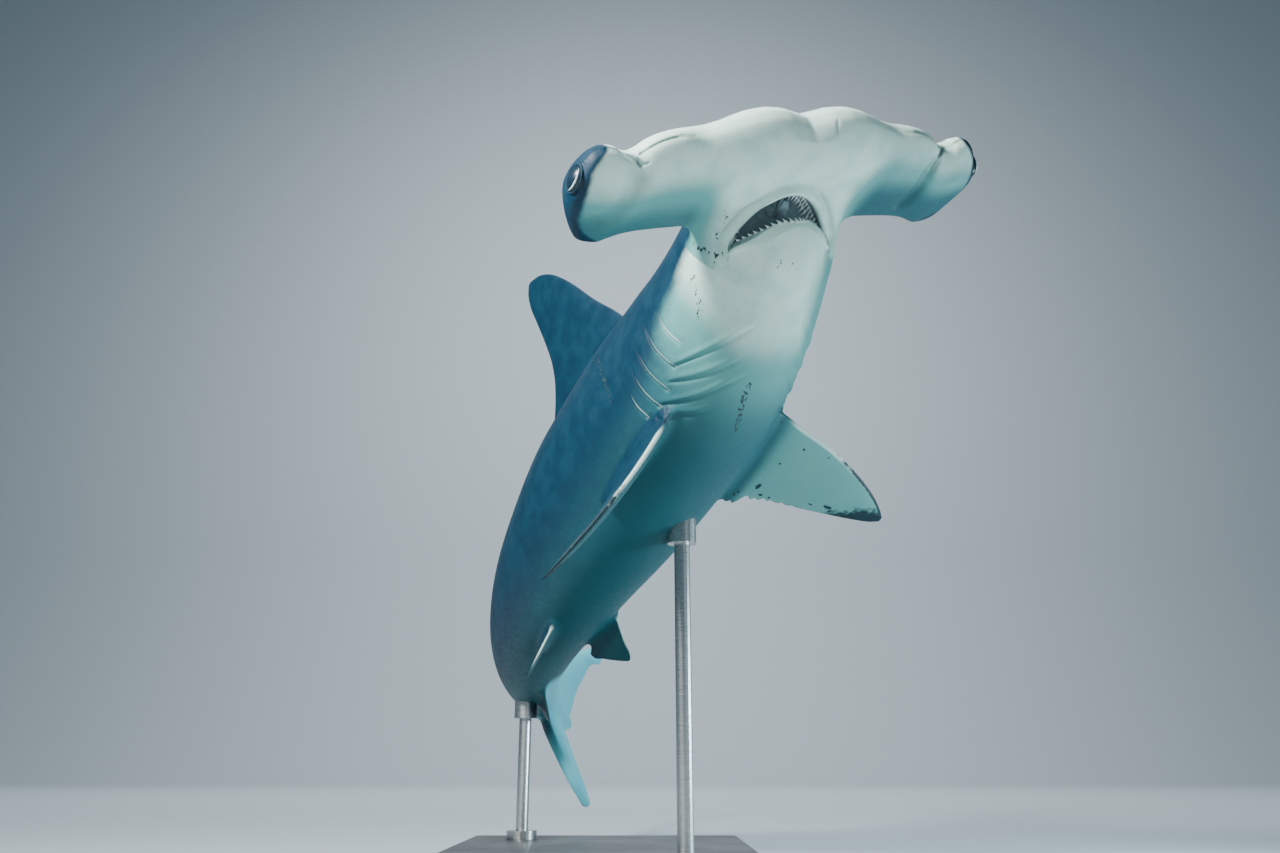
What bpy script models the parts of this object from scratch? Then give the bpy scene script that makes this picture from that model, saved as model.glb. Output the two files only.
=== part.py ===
"""Scalloped hammerhead shark, life size, held in a turn by a plain display stand.

The shark is modelled straight, with X to its tail, Y to its right and Z to its back. Its sizes
are fractions of its total length. The straight forms are then bent along the spine.
"""
import math
import random

import bmesh
import bpy
import numpy as np
from mathutils import Euler, Matrix, Vector

# Driving sizes, in metres
TOTAL_LENGTH = 2.4
GAP = 0.0003

# Place and turn of the shoulder on the stand, in metres and degrees
SHOULDER_STATION = 0.20
SHOULDER_POINT = (0.200, -0.450, 0.865)
SHOULDER_ROLL = -14.0
SHOULDER_PITCH = 23.8
SHOULDER_YAW = 112.0

# Bend of the spine: station, degrees for each total length of travel
SIDE_BEND = ((0.08, 0), (0.20, 100), (0.33, 45), (0.50, -145), (0.62, -155), (1.0, -80))
LEVEL_BEND = ((0.08, 0), (0.16, -76), (0.30, 54), (0.52, -34), (0.80, 58), (1.0, 10))
TWIST = ((0.0, 0), (0.14, -8), (0.45, 0), (0.65, 14), (1.0, 4))
SPINE_STEPS = 200

# Girth of the body: station, half width, height above the spine, depth below it
GIRTH = (
    (0.030, 0.018, 0.006, 0.010),
    (0.045, 0.032, 0.017, 0.014),
    (0.060, 0.041, 0.0265, 0.021),
    (0.075, 0.047, 0.033, 0.0315),
    (0.090, 0.0510, 0.039, 0.0390),
    (0.120, 0.0535, 0.048, 0.0480),
    (0.160, 0.0580, 0.058, 0.0560),
    (0.200, 0.0630, 0.067, 0.0620),
    (0.280, 0.0680, 0.077, 0.0680),
    (0.350, 0.0660, 0.077, 0.0680),
    (0.450, 0.0560, 0.064, 0.0600),
    (0.550, 0.0420, 0.048, 0.0450),
    (0.650, 0.0280, 0.033, 0.0290),
    (0.720, 0.0180, 0.022, 0.0180),
    (0.760, 0.0120, 0.016, 0.0130),
    (0.800, 0.0050, 0.008, 0.0070),
)
SIDES_AROUND = 32

# Where the body is parted
HEAD_START = 0.030
NECK_START = 0.112
TRUNK_START = 0.232
BELLY_START = 0.400
TAIL_STEM_START = 0.580
CAUDAL_START = 0.722
CAUDAL_CORE_END = 0.795
STATION_STEP = 0.0135

# Hammer of the head: distance from the midline, station of the margin
HAMMER_HALF_SPAN = 0.1425
FRONT_MARGIN = (
    (0.0, 0.0129), (0.008, 0.0106), (0.017, 0.0084), (0.026, 0.0079), (0.036, 0.0092),
    (0.046, 0.0122), (0.056, 0.0160), (0.066, 0.0186), (0.080, 0.0202), (0.090, 0.0225),
    (0.098, 0.0262), (0.104, 0.0308), (0.110, 0.0333), (0.115, 0.0320), (0.119, 0.0298),
    (0.125, 0.0287), (0.131, 0.0313), (0.136, 0.0372), (0.1405, 0.0475), (0.1425, 0.0565),
)
REAR_MARGIN = (
    (0.0, 0.0850), (0.070, 0.0865), (0.092, 0.0876), (0.102, 0.0890), (0.111, 0.0918),
    (0.118, 0.0942), (0.124, 0.0935), (0.130, 0.0912), (0.134, 0.0860), (0.138, 0.0780),
    (0.1415, 0.0680), (0.1425, 0.0600),
)
HAMMER_THICKNESS = (
    (0.0, 0.0400), (0.030, 0.0370), (0.060, 0.0310), (0.090, 0.0275), (0.115, 0.0255),
    (0.130, 0.0240), (0.137, 0.0205), (0.141, 0.0140), (0.1425, 0.0060),
)
HAMMER_TOP_SHARE = 0.56
HAMMER_FRONT_LEVEL = -0.006
HAMMER_REAR_LEVEL = -0.002
HAMMER_EDGE = 0.0020
HAMMER_STATIONS = 22
HAMMER_CHORD_POINTS = 14

# Mouth: the arch of the upper jaw and the edge of the dropped lower jaw
MOUTH_HALF_WIDTH = 0.0350
MOUTH_CORNER = 0.0910
UPPER_LIP = 0.0585
LOWER_LIP = 0.0672
JAW_PARTING = -0.0212
PALATE = ((0.0585, -0.010), (0.066, -0.002), (0.076, 0.000), (0.086, -0.005),
          (0.0955, JAW_PARTING), (0.125, JAW_PARTING))
LIP_LINE = ((0.0585, -0.0130), (0.0910, -0.0200), (0.0955, JAW_PARTING), (0.125, JAW_PARTING))
JAW_RIM = ((0.0672, -0.0245), (0.080, -0.0225), (0.0910, -0.0205),
           (0.0955, JAW_PARTING), (0.125, JAW_PARTING))
JAW_HOLLOW = ((0.0672, 0.0), (0.072, 0.0050), (0.084, 0.0060), (0.0955, 0.0), (0.125, 0.0))
MOUTH_DEPTH = 0.080
LIP_ROLL = 0.0016
LIP_ROLL_REACH = 0.84
TEETH_IN_ROW = 26
TEETH_REACH = 0.86
TOOTH_HEIGHT = 0.0036
TOOTH_RADIUS = 0.0011
TOOTH_ROOT = 0.0016

# Eyes, nostrils and gill slits
EYE_CENTRE = (0.0520, 0.1338, -0.0015)
EYE_RADIUS = 0.0086
EYE_RIM_RADIUS = 0.0074
EYE_RIM_THICKNESS = 0.0011
NOSTRIL_CENTRE = (0.0352, 0.1070, -0.0100)
NOSTRIL_SIZE = (0.0022, 0.0040, 0.0050)
NARIAL_GROOVE_ENDS = (0.086, 0.104)
NARIAL_GROOVE_RADIUS = 0.0008
GILL_SLITS = 5
GILL_FIRST = 0.172
GILL_SPACING = 0.0118
GILL_LOW_ANGLE = 56.0
GILL_HIGH_ANGLE = 112.0
GILL_WIDTH = 0.0011
GILL_BOW = 0.0060
GILL_INNER = 0.86

# Fins: outward distance, then the station or distance behind the fin's origin
DORSAL_FRONT = ((0.050, 0.246), (0.075, 0.257), (0.108, 0.270), (0.141, 0.286), (0.180, 0.301),
                (0.205, 0.313), (0.220, 0.325), (0.2275, 0.337))
DORSAL_REAR = ((0.050, 0.345), (0.0765, 0.352), (0.084, 0.372), (0.092, 0.391), (0.098, 0.393),
               (0.106, 0.384), (0.118, 0.373), (0.132, 0.3635), (0.150, 0.357), (0.180, 0.353),
               (0.205, 0.351), (0.220, 0.347), (0.2275, 0.341))
SECOND_DORSAL_FRONT = ((0.020, 0.610), (0.036, 0.618), (0.046, 0.628), (0.056, 0.640), (0.0595, 0.647))
SECOND_DORSAL_REAR = ((0.020, 0.645), (0.030, 0.652), (0.0325, 0.680), (0.0350, 0.700), (0.0375, 0.696),
                      (0.045, 0.668), (0.053, 0.656), (0.0595, 0.651))
ANAL_FRONT = ((0.018, 0.596), (0.034, 0.604), (0.048, 0.618), (0.060, 0.633), (0.0660, 0.643))
ANAL_REAR = ((0.018, 0.655), (0.027, 0.662), (0.031, 0.680), (0.034, 0.692), (0.038, 0.684),
             (0.046, 0.662), (0.056, 0.650), (0.0660, 0.648))
CAUDAL_FRONT = ((-0.1030, 0.787), (-0.098, 0.775), (-0.085, 0.754), (-0.060, 0.734), (-0.035, 0.722),
                (-0.018, 0.716), (0.000, 0.718), (0.020, 0.727), (0.050, 0.765), (0.085, 0.818),
                (0.120, 0.874), (0.148, 0.921), (0.164, 0.948))
CAUDAL_REAR = ((-0.1030, 0.793), (-0.096, 0.796), (-0.080, 0.793), (-0.060, 0.785), (-0.040, 0.782),
               (-0.022, 0.787), (0.000, 0.806), (0.027, 0.8296), (0.057, 0.8553), (0.092, 0.8887),
               (0.122, 0.918), (0.127, 0.932), (0.140, 0.944), (0.155, 0.953), (0.164, 0.954))
PECTORAL_FRONT = ((-0.022, -0.004), (0.0, 0.0), (0.019, 0.008), (0.045, 0.0145), (0.075, 0.025),
                  (0.098, 0.036), (0.115, 0.047), (0.1235, 0.056))
PECTORAL_REAR = ((-0.022, 0.052), (0.000, 0.064), (0.003, 0.080), (0.007, 0.095), (0.0138, 0.1005),
                 (0.022, 0.095), (0.033, 0.087), (0.056, 0.079), (0.080, 0.076), (0.107, 0.0722),
                 (0.118, 0.069), (0.1235, 0.066))
PELVIC_FRONT = ((-0.020, 0.0), (0.0, 0.002), (0.012, 0.012), (0.024, 0.024), (0.031, 0.034))
PELVIC_REAR = ((-0.020, 0.040), (0.0, 0.047), (0.003, 0.058), (0.006, 0.066), (0.010, 0.063),
               (0.020, 0.053), (0.031, 0.041))
FIN_THICKNESS = 0.0125
SMALL_FIN_THICKNESS = 0.0060
CAUDAL_THICKNESS = 0.0150
FIN_EDGE = 0.0004
FIN_CHORD_POINTS = 9
FIN_SPANS = 13
PECTORAL_FRAME_STATION = 0.250
PECTORAL_ORIGIN = (0.216, 0.050, -0.044)
RIGHT_PECTORAL_TURN = (48.0, 1.8, 2.1)
LEFT_PECTORAL_TURN = (30.0, -4.0, 0.0)
RIGHT_PECTORAL_DROOP = 1.30
LEFT_PECTORAL_DROOP = 0.30
PELVIC_FRAME_STATION = 0.475
PELVIC_ORIGIN = (0.4585, 0.030, -0.049)
PELVIC_TURN = (56.0, 0.0, 0.0)

# Display stand, in metres
BASE_LENGTH = 1.10
BASE_WIDTH = 0.62
BASE_THICKNESS = 0.040
BASE_BEVEL = 0.008
ROD_RADIUS = 0.014
COLLAR_RADIUS = 0.034
COLLAR_HEIGHT = 0.018
CUP_RADIUS = 0.026
CUP_DEPTH = 0.045
FRONT_ROD = (0.155, -0.245, 0.620)
REAR_ROD = (-0.185, 0.415, 0.345)
ROD_SIDES = 32
ROD_INTO_BODY = 0.060

SKIN_BELLY = (0.700, 0.760, 0.700)
FIN_COLOUR = (0.120, 0.180, 0.200)
EYE_COLOUR = (0.010, 0.014, 0.018)
STEEL = (0.560, 0.570, 0.580)
BASE_COLOUR = (0.055, 0.055, 0.060)


def clear_scene():
    for item in list(bpy.data.objects):
        bpy.data.objects.remove(item, do_unlink=True)


def collection(name):
    group = bpy.data.collections.new(name)
    bpy.context.scene.collection.children.link(group)
    return group


def material(name, colour, roughness, metallic=0.0):
    surface = bpy.data.materials.new(name)
    surface.use_nodes = True
    shader = surface.node_tree.nodes["Principled BSDF"]
    shader.inputs["Base Color"].default_value = (*colour, 1.0)
    shader.inputs["Roughness"].default_value = roughness
    shader.inputs["Metallic"].default_value = metallic
    return surface


def profile(table, x):
    """Smooth curve through the rows (position, value, ...) that never overshoots them."""
    rows = np.array(table, float)
    at, values = rows[:, 0], rows[:, 1:]
    step = np.diff(at)[:, None]
    slope = np.diff(values, axis=0) / step
    tangent = np.zeros_like(values)
    same_way = slope[:-1] * slope[1:] > 0
    total = np.where(same_way, slope[:-1] + slope[1:], 1.0)
    tangent[1:-1] = np.where(same_way, 2 * slope[:-1] * slope[1:] / total, 0.0)
    tangent[0], tangent[-1] = slope[0], slope[-1]
    x = np.clip(np.atleast_1d(x), at[0], at[-1])
    i = np.clip(np.searchsorted(at, x) - 1, 0, len(at) - 2)
    h = step[i]
    t = (x - at[i])[:, None] / h
    result = ((1 + 2 * t) * (1 - t) ** 2 * values[i] + t * (1 - t) ** 2 * h * tangent[i]
              + t * t * (3 - 2 * t) * values[i + 1] + t * t * (t - 1) * h * tangent[i + 1])
    return result[:, 0] if values.shape[1] == 1 else result


def straight_line(table, x):
    rows = np.array(table, float)
    return np.interp(x, rows[:, 0], rows[:, 1])


def make_spine():
    """Points and frames of the bent spine, carried both ways from the shoulder."""
    stations = np.linspace(0.0, 1.0, SPINE_STEPS + 1)
    step = stations[1]
    turns = []
    for station in stations:
        rates = [math.radians(straight_line(table, station)) * step for table in (TWIST, LEVEL_BEND, SIDE_BEND)]
        turn = Vector(rates)
        turns.append(Matrix.Rotation(turn.length, 3, turn) if turn.length else Matrix.Identity(3))
    shoulder = round(SHOULDER_STATION * SPINE_STEPS)
    angles = (math.radians(a) for a in (SHOULDER_ROLL, SHOULDER_PITCH, SHOULDER_YAW))
    frames = [None] * len(stations)
    points = [None] * len(stations)
    frames[shoulder] = Euler(tuple(angles), "XYZ").to_matrix()
    points[shoulder] = Vector(SHOULDER_POINT)
    travel = float(TOTAL_LENGTH * step / 2)
    for i in range(shoulder, SPINE_STEPS):
        frames[i + 1] = frames[i] @ turns[i]
        points[i + 1] = points[i] + travel * (frames[i].col[0] + frames[i + 1].col[0])
    for i in range(shoulder, 0, -1):
        frames[i - 1] = frames[i] @ turns[i].transposed()
        points[i - 1] = points[i] - travel * (frames[i].col[0] + frames[i - 1].col[0])
    return np.array([tuple(p) for p in points]), np.array([[tuple(row) for row in f] for f in frames])


SPINE_POINTS, SPINE_FRAMES = make_spine()


def spine_at(station):
    x = np.clip(station, 0.0, 1.0) * SPINE_STEPS
    i = np.clip(np.floor(x).astype(int), 0, SPINE_STEPS - 1)
    t = x - i
    points = SPINE_POINTS[i] * (1 - t)[..., None] + SPINE_POINTS[i + 1] * t[..., None]
    frames = SPINE_FRAMES[i] * (1 - t)[..., None, None] + SPINE_FRAMES[i + 1] * t[..., None, None]
    return points, frames


def bend(straight):
    """World places of straight points given as fractions of the total length."""
    straight = np.asarray(straight, float)
    points, frames = spine_at(straight[:, 0])
    across = straight[:, 1:2] * frames[:, :, 1] + straight[:, 2:3] * frames[:, :, 2]
    return points + TOTAL_LENGTH * across


def hold(straight, station):
    """World places of straight points carried stiffly by one station of the spine."""
    point, frame = spine_at(np.array([station]))
    local = np.asarray(straight, float) - np.array([station, 0.0, 0.0])
    return point[0] + TOTAL_LENGTH * local @ frame[0].T


def object_from(name, points, faces, group):
    mesh = bpy.data.meshes.new(name)
    mesh.from_pydata([tuple(p) for p in points], [], faces)
    shape = bpy.data.objects.new(name, mesh)
    group.objects.link(shape)
    tidy(shape)
    return shape


def tidy(shape):
    """Faces outward and split into triangles."""
    work = bmesh.new()
    work.from_mesh(shape.data)
    bmesh.ops.recalc_face_normals(work, faces=work.faces)
    bmesh.ops.triangulate(work, faces=work.faces)
    work.to_mesh(shape.data)
    work.free()


def loft_faces(ring_count, ring_size, alike_from=None):
    """Triangles between closed rings, with a cap at each end.

    From the column alike_from on, the diagonals run the other way, so that the two faces of a
    thin fin are split alike.
    """
    faces = []
    for i in range(ring_count - 1):
        for k in range(ring_size):
            a = i * ring_size + k
            b = i * ring_size + (k + 1) % ring_size
            c, d = b + ring_size, a + ring_size
            if alike_from is not None and k >= alike_from:
                faces += [(a, b, d), (b, c, d)]
            else:
                faces += [(a, b, c), (a, c, d)]
    faces.append(tuple(reversed(range(ring_size))))
    faces.append(tuple(range((ring_count - 1) * ring_size, ring_count * ring_size)))
    return faces


def body_ring(station, grow=0.0):
    width, top, bottom = profile(GIRTH, station)[0] + grow
    angles = np.arange(SIDES_AROUND) * 2 * math.pi / SIDES_AROUND
    across = width * np.sin(angles)
    height = np.where(np.cos(angles) > 0, -bottom, -top) * np.cos(angles)
    return np.stack([np.full(SIDES_AROUND, station), across, height], axis=1)


def body_length(name, start, end, group, grow=0.0):
    """A straight length of the body between two stations."""
    count = max(3, round((end - start) / STATION_STEP) + 1)
    rings = [body_ring(station, grow) for station in np.linspace(start, end, count)]
    return object_from(name, np.concatenate(rings), loft_faces(count, SIDES_AROUND), group)


def keep_largest(shape):
    """Only the closed surface with the most volume stays."""
    work = bmesh.new()
    work.from_mesh(shape.data)
    left = set(work.verts)
    shells = []
    while left:
        shell, front = set(), [next(iter(left))]
        while front:
            vert = front.pop()
            if vert not in shell:
                shell.add(vert)
                front.extend(edge.other_vert(vert) for edge in vert.link_edges)
        left -= shell
        shells.append(shell)
    largest = max(shells, key=shell_volume)
    bmesh.ops.delete(work, geom=[v for v in work.verts if v not in largest], context="VERTS")
    bmesh.ops.triangulate(work, faces=work.faces)
    work.to_mesh(shape.data)
    work.free()


def shell_volume(shell):
    faces = {face for vert in shell for face in vert.link_faces}
    volume = 0.0
    for face in faces:
        corners = [vert.co for vert in face.verts]
        for b, c in zip(corners[1:], corners[2:]):
            volume += corners[0].dot(b.cross(c)) / 6
    return abs(volume)


def combine(shape, others, operation, solver="EXACT"):
    """One Boolean of a shape with closed shapes, which are then removed."""
    group = bpy.data.collections.new("operands")
    for other in others:
        group.objects.link(other)
    boolean = shape.modifiers.new("boolean", "BOOLEAN")
    boolean.operation = operation
    boolean.operand_type = "COLLECTION"
    boolean.collection = group
    boolean.solver = solver
    bpy.context.view_layer.update()
    result = bpy.data.meshes.new_from_object(shape.evaluated_get(bpy.context.evaluated_depsgraph_get()))
    shape.modifiers.clear()
    shape.data = result
    for other in others:
        bpy.data.objects.remove(other, do_unlink=True)
    bpy.data.collections.remove(group)
    keep_largest(shape)


def place(shape, mapping):
    """Moves every point of a straight shape by the mapping."""
    mesh = shape.data
    points = np.empty(len(mesh.vertices) * 3)
    mesh.vertices.foreach_get("co", points)
    mesh.vertices.foreach_set("co", mapping(points.reshape(-1, 3)).ravel())
    mesh.update()


def finish(shape, surface, angle=40.0):
    shape.data.materials.clear()
    shape.data.materials.append(surface)
    shape.data.shade_smooth()
    shape.data.set_sharp_from_angle(angle=math.radians(angle))


def hammer(group):
    """The wide wing of the head, lofted from one end to the other."""
    across = HAMMER_HALF_SPAN * np.sin(np.linspace(-1, 1, 2 * HAMMER_STATIONS + 1) * math.pi / 2)
    chord = 0.5 - 0.5 * np.cos(np.linspace(0, 1, HAMMER_CHORD_POINTS) * math.pi)
    fullness = np.sin(math.pi * chord ** 0.75) ** 0.8
    rings = []
    for y in across:
        front = profile(FRONT_MARGIN, abs(y))[0]
        rear = profile(REAR_MARGIN, abs(y))[0]
        thickness = profile(HAMMER_THICKNESS, abs(y))[0]
        edge = min(HAMMER_EDGE, thickness / 4)
        station = front + (rear - front) * chord
        level = HAMMER_FRONT_LEVEL + (HAMMER_REAR_LEVEL - HAMMER_FRONT_LEVEL) * chord
        top = level + edge / 2 + HAMMER_TOP_SHARE * thickness * fullness
        under = level - edge / 2 - (1 - HAMMER_TOP_SHARE) * thickness * fullness
        ring = [(s, y, w) for s, w in zip(station, top)]
        ring += [(s, y, w) for s, w in zip(station[::-1], under[::-1])]
        rings += ring
    return object_from("hammer", rings, loft_faces(len(across), 2 * HAMMER_CHORD_POINTS), group)


def arch_width(station, lip):
    """Half width of the jaw's arch, which opens to the mouth's corners and past the cheeks."""
    inside = max(station - lip, 0.0) / (MOUTH_CORNER - lip)
    if inside <= 1.0:
        return MOUTH_HALF_WIDTH * math.sqrt(inside)
    return MOUTH_HALF_WIDTH + min((station - MOUTH_CORNER) * 12, 0.035)


def mouth_zone(name, lip, level, edge, drop, group):
    """Everything behind a lip and below its line, out to the neck."""
    stations = np.concatenate([lip + (MOUTH_CORNER - lip) * np.linspace(0.08, 1, 9) ** 1.5,
                               np.array([0.0925, 0.0955, 0.104, NECK_START])])
    slopes = np.linspace(-1, 1, 11)
    rings = []
    for station in stations:
        if station > MOUTH_CORNER:
            half = arch_width(station - 2 * drop, lip)
        else:
            half = arch_width(station, lip) - drop
        middle = profile(level, station)[0] - drop
        side = profile(edge, station)[0] - drop
        rings += [(station, half * s, side + (middle - side) * (1 - s ** 4)) for s in slopes]
        rings += [(station, half, -MOUTH_DEPTH), (station, -half, -MOUTH_DEPTH)]
    return object_from(name, rings, loft_faces(len(stations), len(slopes) + 2), group)


def jaw_floor():
    """Level of the lower jaw's floor, hollow behind the rim."""
    return tuple((s, profile(JAW_RIM, s)[0] - profile(JAW_HOLLOW, s)[0])
                 for s in (0.0672, 0.072, 0.078, 0.084, 0.090, 0.0955, 0.125))


def cone(name, radius, height, place_matrix, group):
    bpy.ops.mesh.primitive_cone_add(vertices=5, radius1=radius, radius2=radius * 0.12, depth=height)
    shape = bpy.context.object
    shape.name = name
    shape.data.transform(place_matrix)
    for owner in list(shape.users_collection):
        owner.objects.unlink(shape)
    group.objects.link(shape)
    return shape


def teeth(name, lip, rim, inset, upward, group, seed):
    """A row of slim teeth along the arch of a jaw, leaning into the mouth."""
    draw = random.Random(seed)
    row = []
    for i in range(TEETH_IN_ROW):
        across = MOUTH_HALF_WIDTH * TEETH_REACH * (2 * (i + 0.5) / TEETH_IN_ROW - 1)
        along = (across / MOUTH_HALF_WIDTH) ** 2
        station = lip + (MOUTH_CORNER - lip) * along + inset
        height = TOOTH_HEIGHT * (1 - 0.45 * along) * draw.uniform(0.85, 1.12)
        level = profile(rim, station)[0]
        lean = Euler((upward * draw.uniform(-0.15, 0.15), upward * 0.35, 0.0)).to_matrix().to_4x4()
        if upward < 0:
            lean = lean @ Matrix.Rotation(math.pi, 4, "X")
        lift = Matrix.Translation((0.0, 0.0, height / 2 - TOOTH_ROOT / 2))
        spot = Matrix.Translation((station, across, level))
        row.append(cone(f"{name}_{i}", TOOTH_RADIUS, height + TOOTH_ROOT, spot @ lean @ lift, group))
    return row


def tube(name, points, radius, group):
    """A round roll or groove along a smooth row of points."""
    curve = bpy.data.curves.new(name, "CURVE")
    curve.dimensions = "3D"
    curve.bevel_depth = radius
    curve.bevel_resolution = 1
    curve.use_fill_caps = True
    line = curve.splines.new("POLY")
    line.points.add(len(points) - 1)
    for spot, point in zip(line.points, points):
        spot.co = (*point, 1.0)
    soft = bpy.data.objects.new(name + "_line", curve)
    group.objects.link(soft)
    bpy.context.view_layer.update()
    mesh = bpy.data.meshes.new_from_object(soft.evaluated_get(bpy.context.evaluated_depsgraph_get()))
    shape = bpy.data.objects.new(name, mesh)
    shape.matrix_world = soft.matrix_world
    group.objects.link(shape)
    bpy.data.objects.remove(soft, do_unlink=True)
    work = bmesh.new()
    work.from_mesh(mesh)
    bmesh.ops.remove_doubles(work, verts=work.verts, dist=0.00001)
    bmesh.ops.recalc_face_normals(work, faces=work.faces)
    work.to_mesh(mesh)
    work.free()
    return shape


def lip_roll(group):
    across = MOUTH_HALF_WIDTH * np.linspace(-LIP_ROLL_REACH, LIP_ROLL_REACH, 17)
    along = (across / MOUTH_HALF_WIDTH) ** 2
    station = UPPER_LIP - 0.0008 + (MOUTH_CORNER - UPPER_LIP) * along
    level = np.array([profile(LIP_LINE, s)[0] for s in station]) + 0.0002
    return tube("lip", list(zip(station, across, level)), LIP_ROLL, group)


def ball(name, centre, size, group, segments=24, rings=16):
    bpy.ops.mesh.primitive_uv_sphere_add(segments=segments, ring_count=rings, radius=1.0)
    shape = bpy.context.object
    shape.name = name
    shape.data.transform(Matrix.Translation(centre) @ Matrix.Diagonal((*size, 1.0)))
    for owner in list(shape.users_collection):
        owner.objects.unlink(shape)
    group.objects.link(shape)
    return shape


def eye_rim(side, group):
    """The raised edge of the eye's opening."""
    bpy.ops.mesh.primitive_torus_add(major_radius=EYE_RIM_RADIUS, minor_radius=EYE_RIM_THICKNESS,
                                     major_segments=24, minor_segments=8)
    shape = bpy.context.object
    offset = math.sqrt(EYE_RADIUS ** 2 - EYE_RIM_RADIUS ** 2)
    centre = Vector((EYE_CENTRE[0], side * (EYE_CENTRE[1] + offset), EYE_CENTRE[2]))
    shape.data.transform(Matrix.Translation(centre) @ Matrix.Rotation(math.pi / 2, 4, "X"))
    for owner in list(shape.users_collection):
        owner.objects.unlink(shape)
    group.objects.link(shape)
    return shape


def mirrored(point, side):
    return (point[0], side * point[1], point[2])


def make_head(parts, cutters, skin):
    whole = body_length("head", HEAD_START, NECK_START - GAP / 2 / TOTAL_LENGTH, parts)
    combine(whole, [hammer(cutters)], "UNION")
    jaw = whole.copy()
    jaw.data = whole.data.copy()
    jaw.name = "lower_jaw"
    parts.objects.link(jaw)
    gape = mouth_zone("gape", UPPER_LIP, PALATE, LIP_LINE, 0.0, cutters)
    below = mouth_zone("below", LOWER_LIP, jaw_floor(), JAW_RIM, GAP / TOTAL_LENGTH, cutters)
    combine(whole, [gape], "DIFFERENCE")
    combine(jaw, [below], "INTERSECT")
    upper = [lip_roll(cutters), eye_rim(1, cutters), eye_rim(-1, cutters)]
    upper += teeth("upper_tooth", UPPER_LIP, LIP_LINE, 0.0016, -1, cutters, 11)
    combine(whole, upper, "UNION", "MANIFOLD")
    combine(jaw, teeth("lower_tooth", LOWER_LIP, JAW_RIM, 0.0012, 1, cutters, 12), "UNION", "MANIFOLD")
    socket = EYE_RADIUS + GAP / TOTAL_LENGTH
    hollows = []
    for side in (1, -1):
        hollows.append(ball("socket", mirrored(EYE_CENTRE, side), (socket,) * 3, cutters))
        hollows.append(ball("nostril", mirrored(NOSTRIL_CENTRE, side), NOSTRIL_SIZE, cutters, 12, 8))
        across = np.linspace(*NARIAL_GROOVE_ENDS, 7)
        points = [(profile(FRONT_MARGIN, y)[0] + 0.0006, side * y, HAMMER_FRONT_LEVEL - 0.003) for y in across]
        hollows.append(tube("groove", points, NARIAL_GROOVE_RADIUS, cutters))
    combine(whole, hollows, "DIFFERENCE")
    for shape in (whole, jaw):
        place(shape, bend)
        finish(shape, skin)


def gill_cutter(index, side, group):
    """A curved blade that lies round the flank and slants forward into the body."""
    angles = np.linspace(GILL_LOW_ANGLE - index * 1.5, GILL_HIGH_ANGLE - index * 5.0, 9)
    rings = []
    for angle in angles:
        swing = (angle - angles[0]) / (angles[-1] - angles[0])
        station = GILL_FIRST + index * GILL_SPACING - GILL_BOW * swing ** 2 + 0.004
        width, top, bottom = profile(GIRTH, station)[0]
        across = width * math.sin(math.radians(angle))
        drop = -(bottom if angle < 90 else top) * math.cos(math.radians(angle))
        for reach, shift in ((GILL_INNER, -0.0045), (1.05, 0.0)):
            for half in (-0.5, 0.5):
                flip = half if reach < 1 else -half
                rings.append((station + shift + flip * GILL_WIDTH, side * across * reach, drop * reach))
    return object_from("gill_cutter", rings, loft_faces(len(angles), 4), group)


def make_body(parts, cutters, skin):
    lengths = (("neck", NECK_START, TRUNK_START), ("trunk_front", TRUNK_START, BELLY_START),
               ("trunk_rear", BELLY_START, TAIL_STEM_START), ("tail_stem", TAIL_STEM_START, CAUDAL_START))
    half_gap = GAP / 2 / TOTAL_LENGTH
    for name, start, end in lengths:
        shape = body_length(name, start + half_gap, end - half_gap, parts)
        if name == "neck":
            blades = [gill_cutter(i, side, cutters) for i in range(GILL_SLITS) for side in (1, -1)]
            combine(shape, blades, "DIFFERENCE")
        place(shape, bend)
        finish(shape, skin)


def fin_points(front, rear, thickness, spans=FIN_SPANS):
    """Rings of (behind, outward, aside) for a fin that tapers to its rear edge and its tip."""
    low, high = front[0][0], front[-1][0]
    share = np.linspace(0, 1, spans)
    outward = low + (high - low) * (1 - (1 - share) ** 1.5)
    chord = 0.5 - 0.5 * np.cos(np.linspace(0, 1, FIN_CHORD_POINTS) * math.pi)
    fullness = 2.6 * np.sqrt(chord) * (1 - chord)
    rings = []
    for q in outward:
        lead, trail = profile(front, q)[0], profile(rear, q)[0]
        reach = (q - low) / (high - low)
        half = thickness / 2 * (1 - 0.78 * reach) * fullness * min(1.0, (trail - lead) / 0.03) + FIN_EDGE / 2
        behind = lead + (trail - lead) * chord
        rings += [(b, q, h) for b, h in zip(behind, half)]
        rings += [(b, q, -h) for b, h in zip(behind[::-1], half[::-1])]
    return np.array(rings), loft_faces(spans, 2 * FIN_CHORD_POINTS, FIN_CHORD_POINTS)


def body_cutter(group):
    """The whole body, larger by the gap, which the fins and rods are cut against."""
    shape = body_length("body_cutter", 0.10, CAUDAL_START, group, GAP / TOTAL_LENGTH)
    place(shape, bend)
    return shape


def median_fin(name, front, rear, thickness, upward, parts, cutters, surface):
    rings, faces = fin_points(front, rear, thickness)
    straight = np.stack([rings[:, 0], rings[:, 2], upward * rings[:, 1]], axis=1)
    shape = object_from(name, bend(straight), faces, parts)
    combine(shape, [body_cutter(cutters)], "DIFFERENCE")
    finish(shape, surface)


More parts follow.
